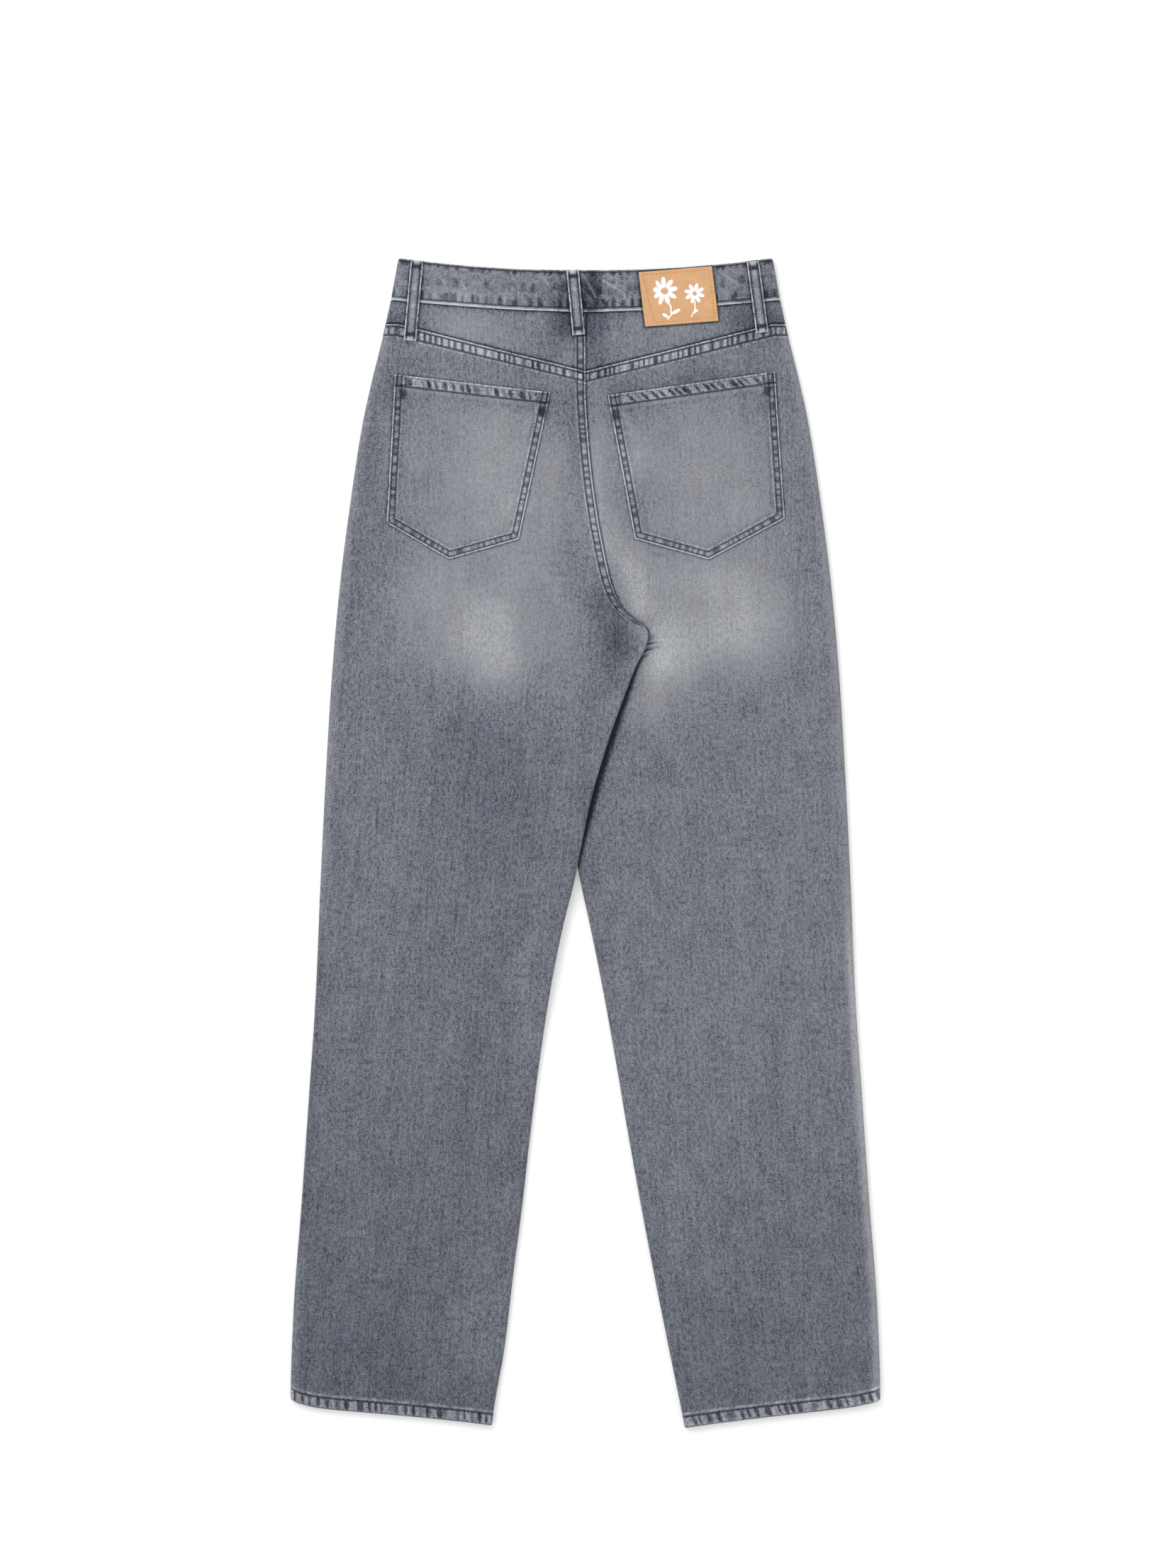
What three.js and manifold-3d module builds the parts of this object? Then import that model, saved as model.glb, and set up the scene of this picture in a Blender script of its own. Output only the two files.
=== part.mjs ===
// High-waisted, straight-leg jeans laid flat on a table with the seat side up.
// Millimetres. +Y runs up to the waist, +X to the wearer's right, +Z away from the table.
// Each piece of cloth is a wall between two grids of points: rows run from waist to hem, columns across.
import * as THREE from "three";
import { mergeVertices } from "three/addons/utils/BufferGeometryUtils.js";
import Module from "manifold-3d";

// Cloth thicknesses
const DENIM = 1.2;
const WAISTBAND_WALL = 2.0; // two layers
const HEM_WALL = 2.4; // turned up and stitched
const LOOP_WALL = 1.6; // folded strip
const LEATHER = 1.3;

// Seams
const SEAM_GAP = 0.3; // between neighbouring pieces
const SEAM_RISE = 0.5; // a double-stitched seam stands this proud
const YOKE_SEAM_WIDTH = 10;
const SEAT_SEAM_WIDTH = 8.5;
const BAND_OVER_YOKE = 0.8; // the waistband stands this proud of the yoke
const HEM_DEPTH = 13;
const WRAP = 12; // how far the back pieces turn under to the side seam

// Height of the top surface over the table, front and back layers together
const LOFT = 4.4;
const WAIST_LOFT = 5.2;
const HEM_LOFT = 5.7;
const SIDE_FOLD_LOFT = 5.8;
const HEM_FOLD_LOFT = 6.4;
const INNER_FOLD_LOFT = 5.2;
const LEG_LIFT = 4.8; // the left leg lies this high where the right leg is under it
const CROTCH_RISE = 3.0; // the right seat humps up beside the crotch

// Lines across the garment
const BAND_TOP = 508.7; // waistband, at the centre of the back
const BAND_TOP_RISE = 11.2; // and how much higher its ends are
const BAND_BOTTOM = 471.6;
const BAND_BOTTOM_RISE = 11;
const FRONT_DROP = 10; // the front waistband lies lower at its centre
const YOKE_POINT = 419.3; // the yoke seam's V, at the centre seam
const YOKE_SIDE_RISE = 42;

// Front details, on the side that faces the table
const FLY_OVERLAP = 10; // the left front's fly edge passes the centre by this
const FLY_EXTENSION = -12; // the right front's edge lies under it to here
const FLY_BOTTOM = 322;
const BUTTON_Y = 480;
const BUTTON_RADIUS = 8.5;
const BUTTON_HEAD = 2.0;
const SHANK_RADIUS = 2.5;
const BUTTONHOLE_RADIUS = 3.3;
const BAND_TIP = 14; // the waistband's outer end, past the centre
const BAND_TAIL = -24; // its inner end
const FRONT_LOOP_X = 66;
const FRONT_LOOP_LIFT = 1.5;
const SCOOP_RADIUS = 76; // front pocket mouth
const FACING_X = 92; // inner edge of the pocket facing
const FACING_BOTTOM = 368;

const DENIM_GREY = 0x777b85;
const LEATHER_TAN = 0xdfae82;
const METAL_GREY = 0x8b8d90;

// Outer fold of the seat and legs: distance from the centre line at each height
const SIDE_EDGE = [
  { y: 520, x: 166.4 }, { y: 484, x: 173 }, { y: 447, x: 181 }, { y: 415, x: 189 },
  { y: 371, x: 198.6 }, { y: 308, x: 208.4 }, { y: 233, x: 218 }, { y: 151, x: 225.4 },
  { y: 56, x: 231.2 }, { y: -38, x: 235.8 }, { y: -133, x: 239.8 }, { y: -227, x: 246 },
  { y: -322, x: 252.6 }, { y: -416, x: 259.6 }, { y: -488, x: 262 }, { y: -520, x: 262 },
];
// Centre back seam, then the left leg's inner edge, which is on top
const SEAT_SEAM = [
  { y: 480, x: 0 }, { y: 405, x: 0 }, { y: 363, x: 2.3 }, { y: 327, x: 5.7 },
  { y: 292, x: 10.5 }, { y: 267, x: 15 }, { y: 237, x: 21.5 }, { y: 220, x: 27 },
  { y: 209, x: 33 }, { y: 200, x: 42.5 }, { y: 195, x: 49.5 }, { y: 190, x: 54.8 },
  { y: 185, x: 56 }, { y: 175, x: 54 }, { y: 157, x: 45 }, { y: 135, x: 36.4 },
  { y: 99, x: 23.3 }, { y: 59, x: 10.7 }, { y: 35, x: 4.2 }, { y: -7, x: -4.4 },
  { y: -38, x: -10.7 }, { y: -70, x: -18.9 }, { y: -133, x: -31.5 }, { y: -196, x: -41 },
  { y: -259, x: -49 }, { y: -322, x: -56.1 }, { y: -385, x: -64.3 }, { y: -448, x: -71.8 },
  { y: -501, x: -81 }, { y: -520, x: -83.4 },
];
// Right leg's inner edge, hidden under the left leg down to where the legs part
const UNDER_EDGE = [
  { y: 190, x: 54.8 }, { y: 186, x: 54 }, { y: 181, x: 34 }, { y: 174, x: 6 },
  { y: 166, x: -14 }, { y: 155, x: -24 }, { y: 138, x: -29 }, { y: 120, x: -30 },
  { y: 80, x: -26.5 }, { y: 40, x: -19 }, { y: 0, x: -11 }, { y: -38, x: -3.8 },
  { y: -70, x: 3.2 }, { y: -133, x: 15.8 }, { y: -196, x: 27.1 }, { y: -259, x: 37.8 },
  { y: -322, x: 49.1 }, { y: -385, x: 61.1 }, { y: -448, x: 73.7 }, { y: -501, x: 84.5 },
  { y: -520, x: 88.2 },
];
// Fly edge and centre front seam of each front, down to where it joins its leg's inner edge
const LEFT_FRONT_EDGE = [
  { y: 480, x: FLY_OVERLAP }, { y: 345, x: FLY_OVERLAP }, { y: 334, x: 8 }, { y: FLY_BOTTOM, x: -0.15 },
  { y: 236, x: -0.15 }, { y: 230, x: 3 }, { y: 222, x: 13 }, { y: 214, x: 23 },
  { y: 207, x: 31 }, { y: 200, x: 40 }, { y: 195, x: 47 }, { y: 190, x: 52.5 },
];
const RIGHT_FRONT_EDGE = [
  { y: 480, x: FLY_EXTENSION }, { y: 345, x: FLY_EXTENSION }, { y: 334, x: -9 }, { y: FLY_BOTTOM, x: 0.15 },
  { y: 234, x: 0.15 }, { y: 222, x: -3 }, { y: 200, x: -9 }, { y: 175, x: -17 }, { y: 155, x: -24 },
];
const LEG_JOIN = { left: 186, right: 155 }; // below this a front's edge is its leg's inner edge

// Heights of the rows, measured on the inner edge
const LEG_ROWS = [
  255, 238, 226, 216, 207, 200, 195, 190, 186, 180, 172, 164, 155, 138, 110,
  70, 25, -20, -60, -105, -160, -220, -290, -360, -430, -478,
];
const HEM = {
  left: { inner: -517.2, tilt: 23.5, bow: 9 }, // the hem rises by tilt to the side, and bows down
  right: { inner: -519.5, tilt: 25, bow: 6.5 },
};
const HEM_CORNER = 12; // reach of the hem's rounded corner at the side

const clamp = (t) => Math.min(1, Math.max(0, t));
const smooth = (t) => clamp(t) ** 2 * (3 - 2 * clamp(t));
const near = (distance, flat, fade) => 1 - smooth((Math.abs(distance) - flat) / fade);
const mix = (a, b, t) => a + (b - a) * t;

// Value of a table of {y, x} rows at height y, as a smooth line that never overshoots its rows.
function at(table, y) {
  const last = table.length - 1;
  if (y >= table[0].y) return table[0].x;
  if (y <= table[last].y) return table[last].x;
  const i = table.findIndex((row) => row.y <= y) - 1;
  const slope = (k) => (table[k + 1].x - table[k].x) / (table[k + 1].y - table[k].y);
  const tangent = (k) => {
    if (k === 0 || k === last) return slope(Math.min(k, last - 1));
    const before = slope(k - 1);
    const after = slope(k);
    return before * after <= 0 ? 0 : (2 * before * after) / (before + after);
  };
  const [upper, lower] = [table[i], table[i + 1]];
  const step = lower.y - upper.y;
  const t = (y - upper.y) / step;
  return (
    upper.x * (1 + 2 * t) * (1 - t) ** 2 +
    lower.x * t * t * (3 - 2 * t) +
    step * (tangent(i) * t * (1 - t) ** 2 - tangent(i + 1) * t * t * (1 - t))
  );
}

const sideName = (side) => (side < 0 ? "left" : "right");
const innerEdge = (side, y) => (side < 0 || y > 190 ? at(SEAT_SEAM, y) : at(UNDER_EDGE, y));
const hemZone = (y) => smooth((-y - 466) / 26);

// The waistband's edges on the seat side, and how much lower they lie at the front
const bandTop = (x) => BAND_TOP + BAND_TOP_RISE * (x / 166) ** 2;
const bandBottom = (x) => BAND_BOTTOM + BAND_BOTTOM_RISE * (Math.abs(x) / 172) ** 1.5;
const frontDrop = (x) => FRONT_DROP * (1 - clamp(Math.abs(x) / 150) ** 2);

// How high the left leg is carried by the right leg under it.
function legLift(x, y) {
  const reach = x - at(UNDER_EDGE, Math.min(y, 120));
  return LEG_LIFT * smooth((reach + 78) / 40) * smooth((255 - y) / 50);
}

// How high the front layer is carried by the button and the front belt loops under it.
function waistLift(x, y) {
  const button = (BUTTON_HEAD + 0.5) * near(x, 11, 34) * near(y - BUTTON_Y, 11, 22);
  const loop = FRONT_LOOP_LIFT * near(Math.abs(x) - FRONT_LOOP_X, 8, 16) * smooth((y - 428) / 18);
  return button + loop;
}

// Underside of the front layer. The right front also lies over the left front's fly.
function frontUnder(side, x, y) {
  if (side < 0) return waistLift(x, y) + legLift(x, y);
  return waistLift(x, y) + 1.5 * near(x, 12, 24) * smooth((y - 298) / 24);
}

// Height of both layers together at a fold on the inside of a leg.
function innerFoldLoft(side, y) {
  const carried = side > 0 ? mix(LOFT, INNER_FOLD_LOFT, smooth((-10 - y) / 70)) : INNER_FOLD_LOFT;
  return mix(carried, HEM_FOLD_LOFT, hemZone(y));
}

// Top surface of the seat and the backs of the legs.
function seatTop(side, x, y) {
  const fromSide = at(SIDE_EDGE, y) - Math.abs(x);
  const fromInner = Math.abs(x - innerEdge(side, y));
  const hem = hemZone(y);
  const base = mix(mix(LOFT, WAIST_LOFT, smooth((y - 425) / 30)), HEM_LOFT, hem);
  const side_ = (mix(SIDE_FOLD_LOFT, HEM_FOLD_LOFT, hem) - base) * near(fromSide, 4, 28);
  const inner = (innerFoldLoft(side, y) - base) * near(fromInner, 4, 24) * smooth((205 - y) / 25);
  const fly = 2.2 * near(x, 28, 45) * smooth((y - 295) / 40);
  const button = 1.5 * near(x, 26, 34) * near(y - BUTTON_Y, 20, 30);
  const hump =
    side < 0 ? 0 : CROTCH_RISE * near(x - at(SEAT_SEAM, y), 4, 42) * smooth((255 - y) / 30) * smooth((y - 191) / 15);
  return base + side_ + inner + fly + button + hump + (side < 0 ? legLift(x, y) : 0);
}

// How far the hem's line lies off a straight one, over the distance from the fold at the side.
function hemSag(side, y, fromFold, width) {
  const bow = HEM[sideName(side)].bow * (1 - fromFold / width) ** 1.5 * (1 - Math.exp(-fromFold / HEM_CORNER));
  return -bow * smooth((-y - 440) / 60);
}

// A closed wall between a top and a bottom grid of points of the same size.
function wallGeometry(top, bottom, flip = false) {
  const rows = top.length;
  const columns = top[0].length;
  const points = [...top.flat(), ...bottom.flat()];
  const over = (r, c) => r * columns + c;
  const under = (r, c) => rows * columns + r * columns + c;
  const faces = [];
  const face = (a, b, c) => faces.push(...(flip ? [a, c, b] : [a, b, c]));
  for (let r = 0; r < rows - 1; r++) {
    for (let c = 0; c < columns - 1; c++) {
      face(over(r, c), over(r + 1, c), over(r, c + 1));
      face(over(r + 1, c), over(r + 1, c + 1), over(r, c + 1));
      face(under(r, c), under(r, c + 1), under(r + 1, c));
      face(under(r + 1, c), under(r, c + 1), under(r + 1, c + 1));
    }
  }
  const rim = [];
  for (let c = 0; c < columns - 1; c++) rim.push([0, c]);
  for (let r = 0; r < rows - 1; r++) rim.push([r, columns - 1]);
  for (let c = columns - 1; c > 0; c--) rim.push([rows - 1, c]);
  for (let r = rows - 1; r > 0; r--) rim.push([r, 0]);
  rim.forEach((here, i) => {
    const next = rim[(i + 1) % rim.length];
    face(over(...here), over(...next), under(...here));
    face(over(...next), under(...next), under(...here));
  });
  const geometry = new THREE.BufferGeometry().setFromPoints(points);
  geometry.setIndex(faces);
  geometry.computeVertexNormals();
  return geometry;
}

const garment = new THREE.Group();
const denim = () => new THREE.MeshStandardMaterial({ color: DENIM_GREY, roughness: 0.9, metalness: 0 });

function add(name, geometry, material = denim()) {
  const mesh = new THREE.Mesh(geometry, material);
  mesh.name = name;
  garment.add(mesh);
  return mesh;
}

// How far an inner edge is turned towards the other layer: 0 at the seat, 1 along the leg.
const edgeTurn = (side, y) => (side < 0 ? smooth((250 - y) / 58) : smooth((178 - y) / 22));

// The last stretch of a row, which turns towards the other layer. up is -1 for a back piece and 1 for a front.
function turnedEdge(side, y, width, wall, up, skin) {
  const radius = (innerFoldLoft(side, y) - SEAM_GAP) / 2;
  const length = (radius * Math.PI) / 2;
  const angle = (edgeTurn(side, y) * Math.PI) / 2;
  const straight = angle < 0.03;
  const bend = straight ? 0 : length / angle;
  const start = width - (straight ? length : bend * Math.sin(angle));
  const from = skin(start);
  const made = [{ outer: from, inner: from.clone().add(new THREE.Vector3(0, 0, up * wall)) }];
  for (const part of [1 / 3, 2 / 3, 1]) {
    const turn = angle * part;
    const outer = straight ? length * part : bend * Math.sin(turn);
    const inner = straight ? length * part : (bend - wall) * Math.sin(turn);
    const rise = straight ? 0 : bend * (1 - Math.cos(turn));
    const innerRise = straight ? wall : bend - (bend - wall) * Math.cos(turn);
    const place = (w, z) => new THREE.Vector3(skin(start + w).x, skin(start + w).y, from.z + up * z);
    made.push({ outer: place(outer, rise), inner: place(inner, innerRise) });
  }
  return { start, points: made };
}

// One row of a back piece: from the side seam below, round the outer fold, across the top to its inner edge.
function backRow(side, row) {
  const edge = at(SIDE_EDGE, row.outerY);
  const width = edge - side * (row.innerX + (side * SEAM_GAP) / 2);
  const wall = row.wall ?? DENIM;
  const plan = (w) => {
    const level = mix(row.outerY, row.innerY, Math.max(0, w - WRAP) / (width - WRAP));
    const x = side * (edge - w);
    return [x, row.line ? row.line(x) : level + hemSag(side, row.innerY, w, width)];
  };
  const height = (w) => seatTop(side, ...plan(w));
  const rise = (w) => {
    const seat = side < 0 && width - w <= SEAT_SEAM_WIDTH + 0.1 ? smooth((row.innerY - 205) / 45) : 0;
    return SEAM_RISE * Math.max(row.raised ?? 0, seat);
  };
  const skin = (w) => new THREE.Vector3(...plan(w), height(w) + rise(w));
  const outer = [];
  const inner = [];
  const put = (w, z, w2, z2) => {
    outer.push(new THREE.Vector3(...plan(w), z));
    inner.push(new THREE.Vector3(plan(w2)[0], plan(w)[1], z2));
  };
  const radius = height(3) / 2;
  put(WRAP, 0, WRAP, wall);
  put(radius + 1.5, 0, radius + 1.5, wall);
  for (let k = 0; k <= 5; k++) {
    const angle = -Math.PI / 2 + (k * Math.PI) / 5;
    const [across, up] = [Math.cos(angle), Math.sin(angle)];
    const proud = rise(0) * Math.max(0, up);
    put(radius - radius * across, radius + radius * up + proud, radius - (radius - wall) * across, radius + (radius - wall) * up);
  }
  const turned = turnedEdge(side, row.innerY, width, wall, -1, skin);
  const middle = [0.2, 0.4, 0.6, 0.8].map((part) => mix(33, width - 28, part));
  for (const w of [radius + 5, 20, 33, ...middle, width - 22, width - SEAT_SEAM_WIDTH - 0.9, width - SEAT_SEAM_WIDTH]) {
    put(w, height(w) + rise(w), w, height(w) - wall);
  }
  for (const point of turned.points) {
    outer.push(point.outer);
    inner.push(point.inner.clone());
  }
  return { outer, inner };
}

function backPiece(name, side, rows) {
  const made = rows.map((row) => backRow(side, row));
  add(name, wallGeometry(made.map((m) => m.outer), made.map((m) => m.inner), side > 0));
}

const yokeSeam = (y) => YOKE_SIDE_RISE * smooth((y - 300) / (YOKE_POINT - 300));

// Back of a leg with its half of the seat, from the yoke seam to the hem.
function back(side) {
  const hem = HEM[sideName(side)];
  const seamEdge = YOKE_POINT - YOKE_SEAM_WIDTH;
  const seat = [YOKE_POINT - SEAM_GAP / 2, seamEdge, seamEdge - 1, 385, 365, 345, 322, 298, 275];
  const heights = [...seat, ...LEG_ROWS, hem.inner + HEM_DEPTH + 1, hem.inner + HEM_DEPTH, hem.inner];
  const rows = heights.map((y, i) => ({
    innerY: y,
    outerY: y + yokeSeam(y) + hem.tilt * smooth((-y - 300) / 216),
    innerX: innerEdge(side, y),
    raised: i < 2 ? 1 : 0,
    wall: i >= heights.length - 2 ? HEM_WALL : DENIM,
  }));
  backPiece(`back_${sideName(side)}`, side, rows);
}

// Yoke, between the waistband and the seat.
function yoke(side) {
  const bottom = YOKE_POINT + SEAM_GAP / 2;
  const rows = [1, 0.66, 0.33, 0].map((part) => {
    const innerY = mix(bottom, BAND_BOTTOM - SEAM_GAP, part);
    const outerY = mix(bottom + YOKE_SIDE_RISE, bandBottom(172) - SEAM_GAP, part);
    const line = part === 1 ? (x) => bandBottom(Math.min(Math.abs(x), 168)) - SEAM_GAP : undefined;
    return { innerY, outerY, innerX: 0, line };
  });
  backPiece(`yoke_${sideName(side)}`, side, rows);
}

// One row of a front piece, which lies on the table: from the side seam or pocket mouth to its inner edge.
function frontRow(side, row) {
  const width = Math.abs(row.outerX - row.innerX);
  const wall = row.wall ?? DENIM;
  const toSide = Math.sign(row.outerX - row.innerX);
  const plan = (w) => {
    const hidden = WRAP + SEAM_GAP;
    const x = row.outerX - toSide * w;
    const straight = mix(row.outerY, row.innerY, w / width) + hemSag(side, row.innerY, w + hidden, width + hidden);
    const waist = bandBottom(x) - frontDrop(x) - SEAM_GAP;
    return [x, row.waist ? mix(straight, waist, row.waist) : straight];
  };
  const skin = (w) => new THREE.Vector3(...plan(w), frontUnder(side, ...plan(w)));
  const outer = [];
  const inner = [];
  const turned = turnedEdge(side, row.innerY, width, wall, 1, skin);
  const middle = [0.2, 0.4, 0.6, 0.8].map((part) => mix(0, width - 28, part));
  for (const w of [0, ...middle, width - 28, width - 14]) {
    const point = skin(w);
    outer.push(point);
    inner.push(point.clone().add(new THREE.Vector3(0, 0, wall)));
  }
  for (const point of turned.points) {
    outer.push(point.outer);
    inner.push(point.inner);
  }
  return { outer, inner };
}

// Front of a leg, with its pocket mouth scooped out, down to the hem.
function front(side) {
  const name = sideName(side);
  const hem = HEM[name];
  const join = LEG_JOIN[name];
  const edgeTable = side < 0 ? LEFT_FRONT_EDGE : RIGHT_FRONT_EDGE;
  const inside = (y) => (y > join ? at(edgeTable, y) : innerEdge(side, y) + (side * SEAM_GAP) / 2);
  const seam = (y) => at(SIDE_EDGE, y) - WRAP - SEAM_GAP;
  const scoopCorner = seam(384);
  const scoopTop = bandBottom(107) - frontDrop(107) - SEAM_GAP;
  const scoopDepth = scoopTop - 384;
  const scoop = [0, 15, 30, 45, 60, 75, 90].map((degrees, i) => {
    const angle = (degrees * Math.PI) / 180;
    const innerY = mix(BAND_BOTTOM - FRONT_DROP - SEAM_GAP, 366, i / 6);
    return {
      innerY,
      innerX: inside(innerY),
      outerX: side * (scoopCorner - SCOOP_RADIUS * Math.cos(angle)),
      outerY: scoopTop - scoopDepth * Math.sin(angle),
      waist: (1 - i / 6) ** 2,
    };
  });
  const heights = [350, 334, FLY_BOTTOM, 300, 275, ...LEG_ROWS, hem.inner + HEM_DEPTH + 1, hem.inner + HEM_DEPTH, hem.inner];
  const leg = heights.map((y, i) => {
    const outerY = y + 18 * smooth((y - 290) / 76) + hem.tilt * smooth((-y - 300) / 216);
    const wall = i >= heights.length - 2 ? HEM_WALL : DENIM;
    return { innerY: y, innerX: inside(y), outerX: side * seam(outerY), outerY, wall };
  });
  const made = [...scoop, ...leg].map((row) => frontRow(side, row));
  add(`front_${name}`, wallGeometry(made.map((m) => m.inner), made.map((m) => m.outer), side > 0));
}

// Height of the top of pieces already made. It is felt for to each side too, so that a stiff piece laid
// on them spans a step or a seam.
const ray = new THREE.Raycaster();
const DOWN = new THREE.Vector3(0, 0, -1);
const FEELERS = [[0, 0], [1, 0], [-1, 0], [0, 1], [0, -1]];

function topOf(names, x, y, reach) {
  const pieces = names.map((name) => garment.getObjectByName(name));
  const heights = FEELERS.flatMap(([dx, dy]) => {
    ray.set(new THREE.Vector3(x + dx * reach, y + dy * reach, 100), DOWN);
    return ray.intersectObjects(pieces).map((hit) => hit.point.z);
  });
  return Math.max(0, ...heights);
}

// A flat piece laid over a surface. plan(u, v) gives its place, under(x, y) the height that it lies on.
function overlay(name, us, vs, plan, under, thickness, material = denim()) {
  const top = [];
  const bottom = [];
  for (const v of vs) {
    const places = us.map((u) => plan(u, v));
    bottom.push(places.map(([x, y], i) => new THREE.Vector3(x, y, under(x, y, us[i], v))));
    top.push(bottom.at(-1).map((p, i) => p.clone().setZ(p.z + thickness(us[i], v))));
  }
  add(name, wallGeometry(top, bottom), material);
}

const steps = (count) => Array.from({ length: count + 1 }, (_, i) => i / count);
const between = (a, b, t) => [mix(a[0], b[0], t), mix(a[1], b[1], t)];

// Denim behind the scooped front pocket mouth.
function facing(side) {
  const outer = (y) => at(SIDE_EDGE, y) - 6;
  const us = side < 0 ? steps(4) : steps(4).reverse();
  const plan = (u, v) => {
    const topX = mix(outer(478), FACING_X, u);
    const topY = bandBottom(topX) - frontDrop(topX) - SEAM_GAP;
    const y = mix(topY, FACING_BOTTOM, v);
    return [side * mix(outer(y), FACING_X, u), y];
  };
  const under = (x, y) => Math.max(DENIM, topOf([`front_${sideName(side)}`], x, y, 3)) + SEAM_GAP;
  overlay(`front_pocket_facing_${sideName(side)}`, us, steps(5), plan, under, () => DENIM);
}

// Back pocket: its corners in the order top left, top right, lower right, tip, lower left.
const POCKETS = {
  left: [[-169.3, 416.4], [-31.3, 400.4], [-59.3, 270.1], [-121.3, 252.4], [-176.6, 284.6]],
  right: [[19.7, 397.7], [168.2, 419], [177, 288.5], [109.7, 252.1], [43.8, 270.5]],
};
const POCKET_HEM = 0.085; // turned top edge, as a share of the pocket's height
const POCKET_HEM_RISE = 0.7;

function pocket(side) {
  const [topLeft, topRight, lowRight, tip, lowLeft] = POCKETS[sideName(side)];
  const lower = (u) => (u < 0.5 ? between(lowLeft, tip, u * 2) : between(tip, lowRight, u * 2 - 1));
  const plan = (u, v) => between(between(topLeft, topRight, u), lower(u), v);
  const under = (x, y) => topOf([`back_${sideName(side)}`], x, y, 4) + SEAM_GAP;
  const thickness = (u, v) => DENIM + (v <= POCKET_HEM ? POCKET_HEM_RISE : 0);
  const vs = [0, POCKET_HEM, POCKET_HEM + 0.006, 0.25, 0.42, 0.58, 0.74, 0.88, 1];
  overlay(`back_pocket_${sideName(side)}`, steps(8), vs, plan, under, thickness);
}

// What the back belt loops and the patch lie on
const SEAT_PIECES = ["waistband", "yoke_left", "yoke_right", "back_left", "back_right"];
const waistTop = (x, y) => topOf(SEAT_PIECES, x, y, 5);

// Belt loops: centre of the top end, centre of the lower end, on the seat side.
const LOOP_WIDTH = 11;
const LOOP_SLACK = 1.0; // room for a belt while it lies flat
const BACK_LOOPS = {
  left: { top: [-149.5, 517.5], low: [-156, 446.5] },
  centre: { top: [-11.5, 508.5], low: [-6, 451] },
  right: { top: [148.5, 516.5], low: [157, 453.5] },
};

function backLoop(name, { top, low }) {
  const along = new THREE.Vector2(low[0] - top[0], low[1] - top[1]).normalize();
  const plan = (u, v) => {
    const [x, y] = between(top, low, v);
    const off = (u - 0.5) * LOOP_WIDTH;
    return [x - along.y * off, y + along.x * off];
  };
  const slack = (v) => SEAM_GAP + LOOP_SLACK * Math.sin(Math.PI * v) ** 0.6;
  overlay(`belt_loop_back_${name}`, steps(3), steps(10), plan, (x, y, u, v) => waistTop(x, y) + slack(v), () => LOOP_WALL);
}

// The front loops lie straight on the table, so they are flat.
function frontLoop(side) {
  const top = bandTop(FRONT_LOOP_X) - frontDrop(FRONT_LOOP_X) - 0.5;
  const low = bandBottom(FRONT_LOOP_X) - frontDrop(FRONT_LOOP_X) - 14;
  const plan = (u, v) => [side * FRONT_LOOP_X + (u - 0.5) * LOOP_WIDTH, mix(top, low, v)];
  overlay(`belt_loop_front_${sideName(side)}`, steps(2), steps(4), plan, () => 0, () => DENIM);
}

// Leather patch over the waistband and the yoke.
const PATCH = [[46.9, 507], [112.3, 512.6], [118.4, 463.9], [52.9, 458.6]];

function patch() {
  const [topLeft, topRight, lowRight, lowLeft] = PATCH;
  const plan = (u, v) => between(between(topLeft, topRight, u), between(lowLeft, lowRight, u), v);
  const leather = new THREE.MeshStandardMaterial({ color: LEATHER_TAN, roughness: 0.65, metalness: 0 });
  overlay("leather_patch", steps(6), steps(8), plan, (x, y) => waistTop(x, y) + SEAM_GAP, () => LEATHER, leather);
}

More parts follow.
